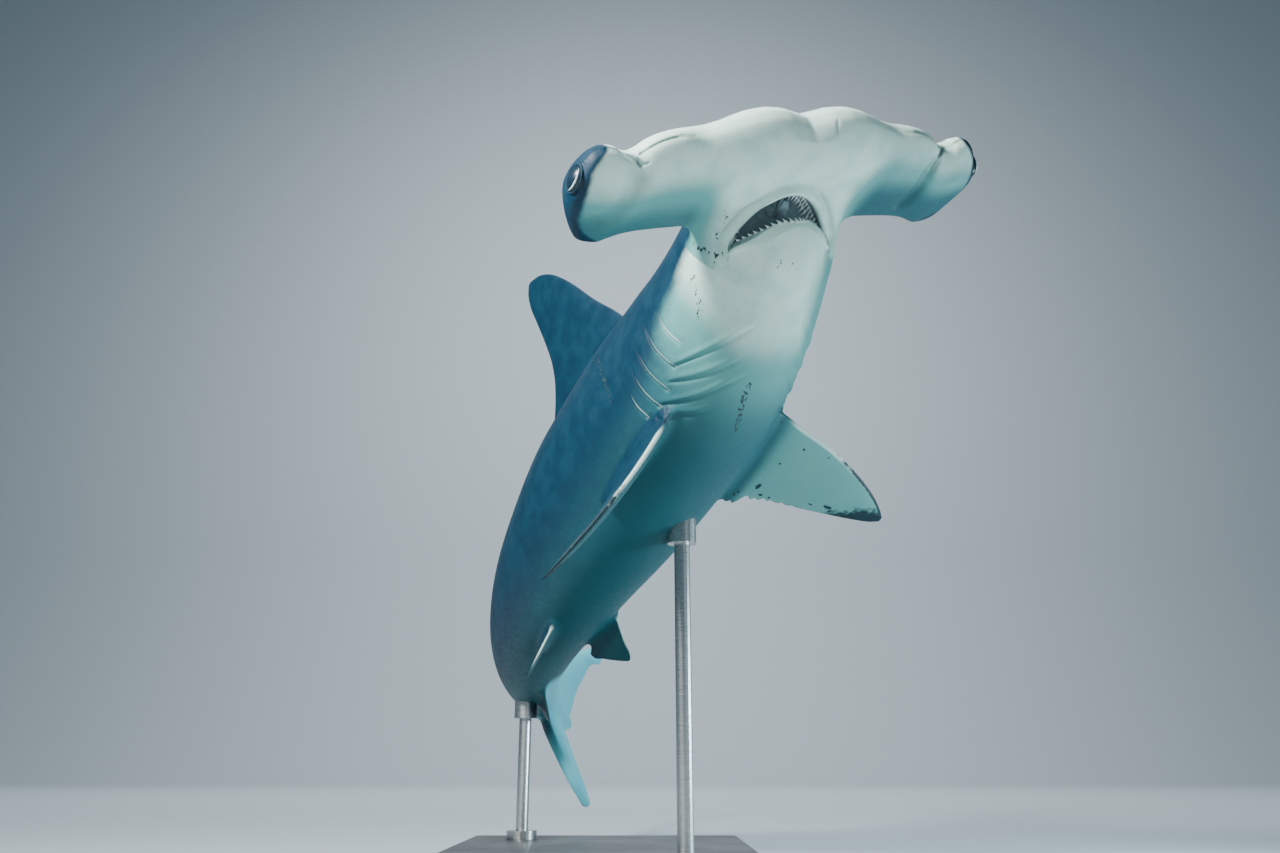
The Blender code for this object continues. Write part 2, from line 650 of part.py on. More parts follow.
def paired_fin(name, front, rear, thickness, side, origin, station, turn, droop, parts, cutters, surface):
    """A fin held stiffly at its base: turn is its dip below level, its pitch and its sweep."""
    rings, faces = fin_points(front, rear, thickness)
    dip, pitch, sweep = (math.radians(a) for a in turn)
    out = np.array([0.0, side * math.cos(dip), -math.sin(dip)])
    normal = np.cross((1.0, 0.0, 0.0), out)
    back = np.array([math.cos(pitch), 0.0, 0.0]) + normal * math.sin(pitch) * side
    face = np.cross(back, out) * side
    behind = rings[:, 0] * math.cos(sweep) + rings[:, 1] * math.sin(sweep)
    outward = rings[:, 1] * math.cos(sweep) - rings[:, 0] * math.sin(sweep)
    aside = rings[:, 2] + droop * np.maximum(outward, 0.0) ** 2
    straight = np.array(mirrored(origin, side)) + (behind[:, None] * back + outward[:, None] * out
                                                   + aside[:, None] * face)
    shape = object_from(name, hold(straight, station), faces, parts)
    combine(shape, [body_cutter(cutters)], "DIFFERENCE")
    finish(shape, surface)


def make_caudal_fin(parts, cutters, surface):
    """Both lobes, grown round the end of the tail stem."""
    core = body_length("caudal_fin", CAUDAL_START + GAP / 2 / TOTAL_LENGTH, CAUDAL_CORE_END, parts)
    rings, faces = fin_points(CAUDAL_FRONT, CAUDAL_REAR, CAUDAL_THICKNESS, 27)
    reach = np.abs(rings[:, 1] - 0.01)
    thin = np.clip(1.0 - reach / 0.16, 0.35, 1.0)
    aside = np.sign(rings[:, 2]) * np.minimum(np.abs(rings[:, 2]) / np.maximum(thin, 0.35), CAUDAL_THICKNESS / 2) * thin
    straight = np.stack([rings[:, 0], aside, rings[:, 1]], axis=1)
    combine(core, [object_from("lobes", straight, faces, cutters)], "UNION")
    stem = body_length("stem_cutter", 0.66, CAUDAL_START, cutters, GAP / TOTAL_LENGTH)
    combine(core, [stem], "DIFFERENCE")
    place(core, bend)
    finish(core, surface)


def make_fins(parts, cutters, surface):
    median_fin("first_dorsal_fin", DORSAL_FRONT, DORSAL_REAR, FIN_THICKNESS, 1, parts, cutters, surface)
    median_fin("second_dorsal_fin", SECOND_DORSAL_FRONT, SECOND_DORSAL_REAR, SMALL_FIN_THICKNESS, 1,
               parts, cutters, surface)
    median_fin("anal_fin", ANAL_FRONT, ANAL_REAR, SMALL_FIN_THICKNESS, -1, parts, cutters, surface)
    make_caudal_fin(parts, cutters, surface)
    pectorals = ((1, "right", RIGHT_PECTORAL_TURN, RIGHT_PECTORAL_DROOP),
                 (-1, "left", LEFT_PECTORAL_TURN, LEFT_PECTORAL_DROOP))
    for side, word, turn, droop in pectorals:
        paired_fin(f"pectoral_fin_{word}", PECTORAL_FRONT, PECTORAL_REAR, FIN_THICKNESS, side, PECTORAL_ORIGIN,
                   PECTORAL_FRAME_STATION, turn, droop, parts, cutters, surface)
        paired_fin(f"pelvic_fin_{word}", PELVIC_FRONT, PELVIC_REAR, SMALL_FIN_THICKNESS, side, PELVIC_ORIGIN,
                   PELVIC_FRAME_STATION, PELVIC_TURN, 0.0, parts, cutters, surface)


def make_eyes(parts, surface):
    for side, word in ((1, "right"), (-1, "left")):
        shape = ball(f"eye_{word}", mirrored(EYE_CENTRE, side), (EYE_RADIUS,) * 3, parts)
        place(shape, bend)
        finish(shape, surface)


def cylinder(name, radius, low, high, spot, group):
    bpy.ops.mesh.primitive_cylinder_add(vertices=ROD_SIDES, radius=radius, depth=high - low)
    shape = bpy.context.object
    shape.name = name
    shape.data.transform(Matrix.Translation((spot[0], spot[1], (low + high) / 2)))
    for owner in list(shape.users_collection):
        owner.objects.unlink(shape)
    group.objects.link(shape)
    return shape


def make_stand(parts, cutters, steel, paint):
    bpy.ops.mesh.primitive_cube_add(size=1.0)
    base = bpy.context.object
    base.name = "stand_base"
    base.data.transform(Matrix.Translation((0.0, 0.0, BASE_THICKNESS / 2))
                        @ Matrix.Diagonal((BASE_WIDTH, BASE_LENGTH, BASE_THICKNESS, 1.0)))
    for owner in list(base.users_collection):
        owner.objects.unlink(base)
    parts.objects.link(base)
    edges = base.modifiers.new("edges", "BEVEL")
    edges.width = BASE_BEVEL
    edges.segments = 3
    finish(base, paint)
    for name, rod in (("stand_rod_front", FRONT_ROD), ("stand_rod_rear", REAR_ROD)):
        foot = BASE_THICKNESS + GAP
        shape = cylinder(name, ROD_RADIUS, foot, rod[2] + ROD_INTO_BODY, rod, parts)
        collar = cylinder("collar", COLLAR_RADIUS, foot, foot + COLLAR_HEIGHT, rod, cutters)
        cup = cylinder("cup", CUP_RADIUS, rod[2] - CUP_DEPTH, rod[2] + ROD_INTO_BODY * 0.9, rod, cutters)
        combine(shape, [collar, cup], "UNION")
        combine(shape, [body_cutter(cutters)], "DIFFERENCE")
        finish(shape, steel)


def main():
    clear_scene()
    parts = collection("hammerhead_shark")
    cutters = collection("cutters")
    skin = material("skin", SKIN_BELLY, 0.45)
    back = material("fin_skin", FIN_COLOUR, 0.45)
    eye = material("eye", EYE_COLOUR, 0.08)
    steel = material("steel", STEEL, 0.30, 1.0)
    paint = material("base_paint", BASE_COLOUR, 0.40)
    make_head(parts, cutters, skin)
    make_body(parts, cutters, skin)
    make_fins(parts, cutters, back)
    make_eyes(parts, eye)
    make_stand(parts, cutters, steel, paint)


main()
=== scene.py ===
"""Looks of the hammerhead shark: one skin, eyes, teeth, stand finish, floor, light and camera.

The shark's form is a distance field in a straight frame: X runs to the tail, Y to its right and
Z to its back, in fractions of its total length. The skin is the field's surface, bent along the
spine. The field is negative inside the animal.
"""
import math
import random

import bmesh
import bpy
import numpy as np
from mathutils import Euler, Matrix, Vector


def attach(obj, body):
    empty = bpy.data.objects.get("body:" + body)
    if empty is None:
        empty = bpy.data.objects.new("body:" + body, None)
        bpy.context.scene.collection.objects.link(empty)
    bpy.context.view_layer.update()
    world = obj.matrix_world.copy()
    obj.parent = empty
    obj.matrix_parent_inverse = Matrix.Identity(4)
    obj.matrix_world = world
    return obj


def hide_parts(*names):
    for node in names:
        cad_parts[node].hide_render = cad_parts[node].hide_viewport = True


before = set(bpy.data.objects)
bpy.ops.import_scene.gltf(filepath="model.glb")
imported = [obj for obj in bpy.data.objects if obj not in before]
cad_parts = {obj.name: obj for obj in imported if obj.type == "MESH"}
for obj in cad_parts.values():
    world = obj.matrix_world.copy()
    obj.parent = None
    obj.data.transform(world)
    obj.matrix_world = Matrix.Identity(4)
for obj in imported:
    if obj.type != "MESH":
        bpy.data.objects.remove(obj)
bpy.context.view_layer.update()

# Size, and place and turn of the shoulder, in metres and degrees
TOTAL_LENGTH = 2.4
SHOULDER_STATION = 0.20
SHOULDER_POINT = (0.200, -0.450, 0.865)
SHOULDER_ROLL = -14.0
SHOULDER_PITCH = 23.8
SHOULDER_YAW = 112.0

# Bend of the spine: station, degrees for each total length of travel
SIDE_BEND = ((0.08, 0), (0.20, 100), (0.33, 45), (0.50, -145), (0.62, -155), (1.0, -80))
LEVEL_BEND = ((0.08, 0), (0.16, -76), (0.30, 54), (0.52, -34), (0.80, 58), (1.0, 10))
TWIST = ((0.0, 0), (0.14, -8), (0.45, 0), (0.65, 14), (1.0, 4))
SPINE_STEPS = 200

# Girth of the body: station, half width, height above the spine, depth below it
GIRTH = (
    (0.030, 0.018, 0.006, 0.010), (0.045, 0.032, 0.017, 0.014), (0.060, 0.041, 0.0265, 0.021),
    (0.075, 0.047, 0.033, 0.0315), (0.090, 0.0510, 0.039, 0.0390), (0.120, 0.0535, 0.048, 0.0480),
    (0.160, 0.0580, 0.058, 0.0560), (0.200, 0.0630, 0.067, 0.0620), (0.280, 0.0680, 0.077, 0.0680),
    (0.350, 0.0660, 0.077, 0.0680), (0.450, 0.0560, 0.064, 0.0600), (0.550, 0.0420, 0.048, 0.0450),
    (0.650, 0.0280, 0.033, 0.0290), (0.720, 0.0180, 0.022, 0.0180), (0.760, 0.0120, 0.016, 0.0130),
    (0.800, 0.0050, 0.008, 0.0070),
)

# Hammer of the head: distance from the midline, station of the margin
FRONT_MARGIN = (
    (0.0, 0.0129), (0.008, 0.0106), (0.017, 0.0084), (0.026, 0.0079), (0.036, 0.0092),
    (0.046, 0.0122), (0.056, 0.0160), (0.066, 0.0186), (0.080, 0.0202), (0.090, 0.0225),
    (0.098, 0.0262), (0.104, 0.0308), (0.110, 0.0333), (0.115, 0.0320), (0.119, 0.0298),
    (0.125, 0.0287), (0.131, 0.0313), (0.136, 0.0372), (0.1405, 0.0475), (0.1425, 0.0565),
)
REAR_MARGIN = (
    (0.0, 0.0850), (0.070, 0.0865), (0.092, 0.0876), (0.102, 0.0890), (0.111, 0.0918),
    (0.118, 0.0942), (0.124, 0.0935), (0.130, 0.0912), (0.134, 0.0860), (0.138, 0.0780),
    (0.1415, 0.0680), (0.1425, 0.0600),
)
HAMMER_THICKNESS = (
    (0.0, 0.0400), (0.030, 0.0370), (0.060, 0.0310), (0.090, 0.0275), (0.115, 0.0255),
    (0.130, 0.0240), (0.137, 0.0205), (0.141, 0.0140), (0.1425, 0.0060),
)
HAMMER_TOP_SHARE = 0.56
HAMMER_FRONT_LEVEL = -0.006
HAMMER_REAR_LEVEL = -0.002
HAMMER_EDGE = 0.0030
HAMMER_ROUNDING = 0.0030
HAMMER_FILLET = 0.016

# Mouth: the arch of the upper jaw and the edge of the dropped lower jaw
MOUTH_HALF_WIDTH = 0.0350
MOUTH_CORNER = 0.0910
UPPER_LIP = 0.0582
LOWER_LIP = 0.0678
PALATE = ((0.0582, -0.0105), (0.064, -0.004), (0.074, 0.001), (0.084, -0.006), (0.0910, -0.0176))
LIP_LINE = ((0.0582, -0.0110), (0.074, -0.0090), (0.084, -0.0110), (0.0910, -0.0178))
JAW_RIM = ((0.0678, -0.0285), (0.0710, -0.0262), (0.0760, -0.0248), (0.0828, -0.0218),
           (0.0863, -0.0200), (0.0910, -0.0181))
JAW_HOLLOW = ((0.0678, 0.0), (0.071, 0.0012), (0.077, 0.0050), (0.084, 0.0045), (0.0910, 0.0))
LIP_ROUNDING = 0.0012
LIP_ROLL = (0.0022, 0.0021)
LIP_ROLL_HEIGHT = 0.0017
LIP_FURROW = (0.0068, 0.0018)
LIP_FURROW_DEPTH = 0.0014
LIP_SHADE = (0.0072, 0.0017)
MUZZLE_LEVEL = ((0.030, -0.0310), (0.040, -0.0240), (0.047, -0.0195), (0.053, -0.0168), (0.060, -0.0168),
                (0.069, -0.0150), (0.080, -0.0152), (0.0885, -0.0176), (0.096, -0.0260), (0.106, -0.0440))
MUZZLE_REACH = 0.045
MUZZLE_ROUNDING = 0.0035
JAW_SWELL = 0.0032
JAW_CORNER = (0.0930, 0.0355)
JAW_CORNER_SPREAD = (0.0150, 0.0110)
JAW_CORNER_DENT = 0.0105
TOOTH_SPACING = 0.0037
TEETH_REACH = 0.90
LOWER_TOOTH_HEIGHT = 0.0044
UPPER_TOOTH_HEIGHT = 0.0050
TOOTH_RINGS = 9
TOOTH_SIDES = 10
TOOTH_HALF_WIDTH = 0.0013
TOOTH_HALF_THICKNESS = 0.00045
TOOTH_ROOT = 0.0012
TOOTH_CURVE = 0.18
LOWER_TOOTH_ROWS = ((0.0008, -0.15, 1.0), (0.0032, 0.75, 0.7))
UPPER_TOOTH_ROWS = ((0.0010, 1.25, 1.0), (0.0042, 1.35, 0.90))

# Eyes, nostrils and gill slits
EYE_PLACE = (0.0480, -0.0056)
EYE_RADIUS = 0.0090
EYE_SQUEEZE = 0.86
EYE_SINK = 0.0028
EYE_HALF_DEPTH = 0.0054
EYE_SIDES = 96
EYE_LEVELS = 33
LID_RADIUS = 0.0082
LID_SIDES = 12
LID_THICKNESS = 0.0004
# Painted highlight on the eye: angles, radius, width and fineness of a pale crescent
CRESCENT_ANGLES = (36.0, 166.0)
CRESCENT_RADIUS = 0.0073
CRESCENT_WIDTH = 0.0010
CRESCENT_RINGS = 48
CRESCENT_SIDES = 10
GILL_STATIONS = (0.1640, 0.1815, 0.2000, 0.2158, 0.2300)
GILL_LOW_ANGLES = (62.0, 58.0, 55.0, 54.0, 57.0)
GILL_HIGH_ANGLES = (96.0, 97.0, 92.0, 85.0, 79.0)
GILL_DEPTHS = (0.0012, 0.0032, 0.0032, 0.0028, 0.0022)
GILL_BOW = 0.0070
GILL_WIDTH = 0.0010
GILL_LEDGE = 0.0060
GILL_LEDGE_SHARE = 0.35
GILL_FLAP = (-0.0042, 0.0034)
GILL_FLAP_SHARE = 0.28
# Painted highlight along each gill flap's rim: place behind the slit and half width
GILL_RIM_HIGHLIGHT = (-0.0016, 0.0009)

# Folds of the throat: degrees round from the belly's midline, station
THROAT_FOLDS = (
    ((18.0, 0.1309), (32.0, 0.1450), (48.0, 0.1639), (60.0, 0.1809)),
    ((19.0, 0.1537), (27.0, 0.1622), (41.0, 0.1765), (58.0, 0.1939)),
    ((14.0, 0.1672), (25.0, 0.1776), (38.0, 0.1938), (55.0, 0.2133)),
    ((24.0, 0.1962), (34.0, 0.2066), (45.0, 0.2147), (52.0, 0.2220)),
)
FOLD_FURROW = (0.0, 0.0019)
FOLD_DEPTH = 0.0011
FOLD_RIDGE = (-0.0052, 0.0034)
FOLD_HEIGHT = 0.0007

# Soft furrows under the hammer: points (station, across), half width and depth
RIGHT_WING_FURROW = ((0.0430, 0.1060), (0.0502, 0.1085), (0.0602, 0.1127), (0.0696, 0.1167),
                     (0.0727, 0.1239))
LEFT_WING_FURROW = ((0.0400, -0.1010), (0.0465, -0.0976), (0.0558, -0.0967), (0.0649, -0.0951),
                    (0.0740, -0.0930))
HAMMER_FURROWS = (
    (RIGHT_WING_FURROW, 0.0060, 0.0024),
    (LEFT_WING_FURROW, 0.0048, 0.0028),
    (((0.0220, 0.0690), (0.0450, 0.0600), (0.0680, 0.0520)), 0.0085, 0.0014),
    (((0.0220, -0.0690), (0.0450, -0.0600), (0.0680, -0.0520)), 0.0085, 0.0014),
    (((0.0110, -0.0162), (0.0164, -0.0153)), 0.0006, 0.0007),
    (((0.0378, -0.1046), (0.0470, -0.0990)), 0.0006, 0.0006),
    (((0.0380, -0.1064), (0.0470, -0.1012)), 0.0006, 0.0005),
)
WING_LOBE_PLACE = (0.0560, 0.1215)
WING_LOBE_SPREAD = 0.0110
WING_LOBE_HEIGHT = 0.0020

# Nostrils and furrows beside them, on the right side
NOSTRIL_SLIT = ((0.0325, 0.1105, -0.0075), (0.0345, 0.1065, -0.0108), (0.0368, 0.1046, -0.0132))
NOSTRIL_TAIL = ((0.0368, 0.1046, -0.0132), (0.0346, 0.1015, -0.0142))
NOSTRIL_GROOVES = (
    ((0.0352, 0.1060, -0.0118), (0.0310, 0.1165, -0.0072), (0.0292, 0.1225, -0.0062)),
    ((0.0335, 0.1080, -0.0085), (0.0300, 0.1170, -0.0045)),
)
NARIAL_GROOVE_ENDS = (0.074, 0.1045)
LABIAL_FURROW = ((0.0893, 0.0343, -0.0182), (0.0935, 0.0362, -0.0205), (0.0975, 0.0372, -0.0228))

# Fins: outward distance, then the station or distance behind the fin's origin
DORSAL_FRONT = ((0.050, 0.246), (0.075, 0.257), (0.108, 0.270), (0.141, 0.286), (0.180, 0.301),
                (0.205, 0.313), (0.220, 0.325), (0.2275, 0.337))
DORSAL_REAR = ((0.050, 0.345), (0.0765, 0.352), (0.084, 0.372), (0.092, 0.391), (0.098, 0.393),
               (0.106, 0.384), (0.118, 0.373), (0.132, 0.3635), (0.150, 0.357), (0.180, 0.353),
               (0.205, 0.351), (0.220, 0.347), (0.2275, 0.341))
SECOND_DORSAL_FRONT = ((0.020, 0.610), (0.036, 0.618), (0.046, 0.628), (0.056, 0.640),
                       (0.0595, 0.647))
SECOND_DORSAL_REAR = ((0.020, 0.645), (0.030, 0.652), (0.0325, 0.680), (0.0350, 0.700),
                      (0.0375, 0.696), (0.045, 0.668), (0.053, 0.656), (0.0595, 0.651))
ANAL_FRONT = ((0.018, 0.594), (0.032, 0.602), (0.042, 0.613), (0.050, 0.626), (0.0560, 0.637))
ANAL_REAR = ((0.018, 0.655), (0.027, 0.662), (0.030, 0.680), (0.033, 0.690), (0.036, 0.683),
             (0.041, 0.664), (0.048, 0.650), (0.0560, 0.642))
CAUDAL_FRONT = ((-0.1040, 0.767), (-0.098, 0.756), (-0.085, 0.737), (-0.060, 0.716),
                (-0.035, 0.704), (-0.018, 0.702), (0.000, 0.712), (0.020, 0.727), (0.050, 0.765),
                (0.085, 0.818), (0.120, 0.874), (0.148, 0.921), (0.164, 0.948))
CAUDAL_REAR = ((-0.1040, 0.773), (-0.098, 0.776), (-0.080, 0.774), (-0.060, 0.767),
               (-0.040, 0.766), (-0.022, 0.776), (0.000, 0.802), (0.027, 0.8296),
               (0.057, 0.8553), (0.092, 0.8887), (0.122, 0.918), (0.127, 0.932), (0.140, 0.944),
               (0.155, 0.953), (0.164, 0.954))
PECTORAL_FRONT = ((-0.022, -0.004), (0.0, 0.0), (0.018, 0.0060), (0.047, 0.0135),
                  (0.078, 0.0265), (0.103, 0.0410), (0.117, 0.0525), (0.1230, 0.0590))
PECTORAL_REAR = ((-0.022, 0.060), (-0.010, 0.0830), (-0.004, 0.0920), (0.0030, 0.0975),
                 (0.0090, 0.0975), (0.016, 0.0915), (0.026, 0.0850), (0.038, 0.0815),
                 (0.056, 0.0785), (0.080, 0.0745), (0.100, 0.0710), (0.115, 0.0675),
                 (0.1230, 0.0635))
PELVIC_FRONT = ((-0.020, 0.0), (0.0, 0.006), (0.010, 0.016), (0.020, 0.0265), (0.028, 0.0340),
                (0.0318, 0.0395))
PELVIC_REAR = ((-0.020, 0.040), (-0.003, 0.056), (0.001, 0.0660), (0.005, 0.0665),
               (0.012, 0.0605), (0.020, 0.0543), (0.028, 0.0470), (0.0318, 0.0430))
FIN_THICKNESS = 0.0125
SMALL_FIN_THICKNESS = 0.0060
CAUDAL_THICKNESS = 0.0240
CAUDAL_MIDDLE = 0.01
CAUDAL_THINNING_REACH = 0.16
CAUDAL_THINNEST = 0.35
FIN_FULLNESS = 2.6
FIN_TAPER = 0.78
FIN_SHORT_CHORD = 0.03
FIN_EDGE = 0.0004
FIN_FILLET = 0.0075
PECTORAL_STATION = 0.250
PECTORAL_ORIGIN = (0.216, 0.050, -0.044)
RIGHT_PECTORAL_TURN = (48.0, 1.8, 2.1)
LEFT_PECTORAL_TURN = (30.0, -4.0, 0.0)
RIGHT_PECTORAL_DROOP = 1.30
LEFT_PECTORAL_DROOP = 0.30
PELVIC_STATION = 0.475
PELVIC_ORIGIN = (0.4585, 0.030, -0.049)
RIGHT_PELVIC_TURN = (44.0, -3.0, 0.0)
LEFT_PELVIC_TURN = (56.0, 0.0, 0.0)

# Fineness of the skin, in fractions of the total length
FIELD_LOW = (0.0, -0.150, -0.175)
FIELD_HIGH = (0.965, 0.150, 0.235)
COARSE_CELL = 0.020
HALVINGS = 4
FIN_SWELL = 0.0007
CHUNK = 300000

# Paint: how far up the skin faces where back meets belly, and how soft that line is
BACK_LINE = ((0.10, -0.04), (0.145, -0.06), (0.165, -0.12), (0.185, -0.30), (0.22, -0.42), (0.28, -0.50),
             (0.36, -0.58), (0.50, -0.60), (0.62, -0.45), (0.72, -0.15), (1.0, 0.0))
BACK_SOFTNESS = ((0.10, 0.13), (0.17, 0.20), (0.24, 0.30), (0.34, 0.36), (0.52, 0.36), (0.70, 0.25),
                 (1.0, 0.20))
HAMMER_FRONT_LINE = 0.46
HAMMER_REAR_LINE = 0.10
HAMMER_SOFTNESS = 0.16
FIN_LINE = 0.30
FIN_SOFTNESS = 0.20
WING_CAP = ((0.026, 0.1200), (0.034, 0.1280), (0.042, 0.1325), (0.058, 0.1345), (0.070, 0.1345),
            (0.080, 0.1300), (0.088, 0.1215), (0.096, 0.1100))
WING_CAP_SOFTNESS = 0.0060
HEAD_END = 0.105
# Painted shade: how far the belly's cream turns to green and deep teal along the body, on the hammer's
# wings, on the left side of the throat and on the pectoral fins
BELLY_SHADE_BY_STATION = ((0.105, 0.0), (0.140, 0.35), (0.162, 0.90), (0.185, 1.35), (0.220, 1.80), (0.270, 2.0))
WING_SHADE_GREENS = (1.75, 1.95)
LEFT_SIDE_SHADE_GREEN = 1.25
PECTORAL_SHADE_GREENS = {"pectoral_right": 1.8, "pectoral_left": 0.85}
# Painted light: the tail's cyan, standing in for light falling on the tail and the left side of its stem
TAIL_LIGHT_TINT = 3.1
# Painted highlights along the paired fins' leading edges: half widths
FIN_RIM_HIGHLIGHT = 0.0016
LEFT_PECTORAL_RIM_HIGHLIGHT = 0.0030

# Left pectoral: notches of its torn rear margin as distance outward, depth and half width, and its
# spots as place behind and outward, and half sizes
NOTCHES = ((0.0020, 0.0022, 0.0012), (0.0080, 0.0026, 0.0012), (0.0165, 0.0072, 0.0032),
           (0.0235, 0.0030, 0.0013), (0.0300, 0.0038, 0.0014), (0.0360, 0.0020, 0.0014),
           (0.0445, 0.0022, 0.0012), (0.0530, 0.0012, 0.0014))
PECTORAL_SPOTS = (
    ((0.0060, 0.0028), (0.0010, 0.0008)), ((0.0209, 0.0297), (0.0010, 0.0008)),
    ((0.0205, 0.0509), (0.0011, 0.0008)), ((0.0409, 0.0207), (0.0012, 0.0009)),
    ((0.0702, 0.0187), (0.0040, 0.0017)), ((0.0782, 0.0250), (0.0014, 0.0018)),
    ((0.0780, 0.0326), (0.0010, 0.0014)), ((0.0799, -0.0029), (0.0016, 0.0016)),
    ((0.0909, 0.0025), (0.0013, 0.0012)), ((0.0871, 0.0070), (0.0013, 0.0010)),
    ((0.0825, 0.0082), (0.0013, 0.0010)), ((0.0660, 0.0775), (0.0016, 0.0040)),
    ((0.0690, 0.0640), (0.0010, 0.0020)),
)

# Flecked and scratched places: path, half width, strength. Points of two numbers lie on the belly.
FLECKED = (
    (((0.0487, 0.0500), (0.0500, 0.0490)), 0.0032, 0.9),
    (((0.0686, 0.0421), (0.0760, 0.0403)), 0.0036, 0.9),
    (((0.0812, 0.0443), (0.0864, 0.0440)), 0.0036, 0.9),
    (((0.0983, 0.0500), (0.0927, 0.0426), (0.1030, 0.0450)), 0.0045, 0.9),
    (((0.0924, 0.0138), (0.0864, 0.0101)), 0.0038, 0.9),
    (((0.0903, 0.0049), (0.0890, 0.0030)), 0.0034, 0.9),
    (((0.1160, 0.0500), (0.1238, 0.0497), (0.1277, 0.0475)), 0.0042, 0.85),
    (((0.1278, 0.0478), (0.1412, 0.0458)), 0.0034, 0.9),
    (((0.1110, 0.0200), (0.1120, 0.0220)), 0.0034, 0.8),
    (((0.1000, -0.0200), (0.1010, -0.0230)), 0.0040, 0.8),
    (((0.0800, -0.0250), (0.0860, -0.0280)), 0.0045, 0.8),
    (((0.1737, 0.0097), (0.1812, 0.0103), (0.1939, 0.0090), (0.2116, 0.0054)), 0.0050, 1.0),
    (((0.2477, 0.0595, 0.0340), (0.2427, 0.0658, 0.0111), (0.2460, 0.0665, -0.0052)), 0.0070, 0.9),
)

# Colours
BELLY = (0.68, 0.88, 0.79, 1.0)
BELLY_MOTTLE = (0.55, 0.78, 0.70, 1.0)
# Painted shade: green and deep teal that the belly turns to where it lies in shade
BELLY_SHADE_GREEN = (0.12, 0.34, 0.33, 1.0)
BELLY_DEEP_SHADE_TEAL = (0.016, 0.100, 0.125, 1.0)
# Painted light: cyan of the lit tail
TAIL_LIT_CYAN = (0.150, 0.560, 0.660, 1.0)
BACK = (0.004, 0.026, 0.052, 1.0)
BACK_MOTTLE = (0.007, 0.036, 0.066, 1.0)
# Painted highlight on fin edges and gill flaps
RIM_HIGHLIGHT = (0.70, 0.86, 0.80, 1.0)
# Painted shade in grooves
CREASE_SHADE = (0.030, 0.100, 0.105, 1.0)
DUSK = (0.006, 0.030, 0.042, 1.0)
FLECK = (0.030, 0.050, 0.050, 1.0)
# Painted shade inside the mouth: a darker and a paler tone, and the depths over which it sets in
MOUTH_SHADE_DARK = (0.10, 0.16, 0.19, 1.0)
MOUTH_SHADE_PALE = (0.22, 0.30, 0.33, 1.0)
MOUTH_SHADE_DEPTHS = (-0.0048, -0.0095)
FLECK_SIZE = 250.0
FLECK_STRETCH = (0.45, 1.0, 1.0)

# Small pieces: size and detail of the mottle, two colours, roughness, gloss, and the relief's size,
# detail, strength and depth
MOTTLED = {
    "tooth": (300.0, 3.0, (0.95, 0.96, 0.92, 1.0), (0.84, 0.87, 0.83, 1.0), 0.22, 0.50,
              (700.0, 2.0, 0.10, 0.0003)),
    "eye": (180.0, 4.0, (0.003, 0.012, 0.024, 1.0), (0.008, 0.024, 0.040, 1.0), 0.30, 0.35, None),
    # Painted highlight for the eye's crescent
    "eye_rim_highlight": (260.0, 3.0, (0.80, 0.88, 0.90, 1.0), (0.62, 0.74, 0.78, 1.0), 0.25, 0.50, None),
    "eyelid": (90.0, 4.0, (0.004, 0.024, 0.046, 1.0), (0.007, 0.036, 0.062, 1.0), 0.65, 0.20,
               (500.0, 3.0, 0.15, 0.0006)),
}

# Stand
STEEL_DARK = (0.46, 0.47, 0.48, 1.0)
STEEL_PALE = (0.64, 0.65, 0.66, 1.0)
PAINT_DARK = (0.040, 0.042, 0.047, 1.0)
PAINT_PALE = (0.062, 0.064, 0.070, 1.0)

# Nodes that the skin stands for
FLESH = ("head", "lower_jaw", "neck", "trunk_front", "trunk_rear", "tail_stem", "caudal_fin",
         "first_dorsal_fin", "second_dorsal_fin", "anal_fin", "pectoral_fin_right",
         "pectoral_fin_left", "pelvic_fin_right", "pelvic_fin_left")

# Camera, in metres and degrees
CAMERA_PLACE = (0.08, -2.08, 0.20)
CAMERA_TILT = 108.0
CAMERA_LENS = 29.2
SENSOR_WIDTH = 36.0

# Studio: each light's name, place, aim, width, watts and colour
LIGHTS = (
    ("key", (-1.20, -1.85, 1.75), (0.20, -0.70, 0.95), 0.40, 142.0, (0.98, 1.0, 0.95)),
    ("fill", (1.7, -2.5, 0.7), (0.2, -0.5, 0.9), 1.2, 2.0, (0.80, 0.94, 1.0)),
    ("top", (0.4, 0.6, 3.6), (0.0, 0.0, 0.6), 2.2, 70.0, (0.80, 0.94, 1.0)),
    ("tail", (1.7, -0.2, 0.35), (0.0, 0.25, 0.30), 0.4, 22.0, (0.70, 0.94, 1.0)),
    ("wall", (0.0, 4.0, 7.5), (0.0, 12.0, 2.0), 6.0, 900.0, (0.95, 0.98, 1.0)),
)
BACKDROP = (0.50, 0.56, 0.60, 1.0)
WORLD = (0.45, 0.66, 0.80, 1.0)
WORLD_STRENGTH = 0.23


def profile(table, x):
    """Smooth curve through the rows (position, value, ...) that never overshoots them."""
    rows = np.array(table, float)
    at, values = rows[:, 0], rows[:, 1:]
    step = np.diff(at)[:, None]
    slope = np.diff(values, axis=0) / step
    tangent = np.zeros_like(values)
    same_way = slope[:-1] * slope[1:] > 0
    total = np.where(same_way, slope[:-1] + slope[1:], 1.0)
    tangent[1:-1] = np.where(same_way, 2 * slope[:-1] * slope[1:] / total, 0.0)
    tangent[0], tangent[-1] = slope[0], slope[-1]
    x = np.clip(np.atleast_1d(x), at[0], at[-1])
    i = np.clip(np.searchsorted(at, x) - 1, 0, len(at) - 2)
    h = step[i]
    t = (x - at[i])[:, None] / h
    result = ((1 + 2 * t) * (1 - t) ** 2 * values[i] + t * (1 - t) ** 2 * h * tangent[i]
              + t * t * (3 - 2 * t) * values[i + 1] + t * t * (t - 1) * h * tangent[i + 1])
    return result[:, 0] if values.shape[1] == 1 else result


def straight_line(table, x):
    rows = np.array(table, float)
    return np.interp(x, rows[:, 0], rows[:, 1])


def smooth_step(low, high, x):
    t = np.clip((x - low) / (high - low), 0.0, 1.0)
    return t * t * (3 - 2 * t)


def bell(x, middle, width):
    """One at the middle, falling away to either side."""
    return np.exp(-((x - middle) / width) ** 2)


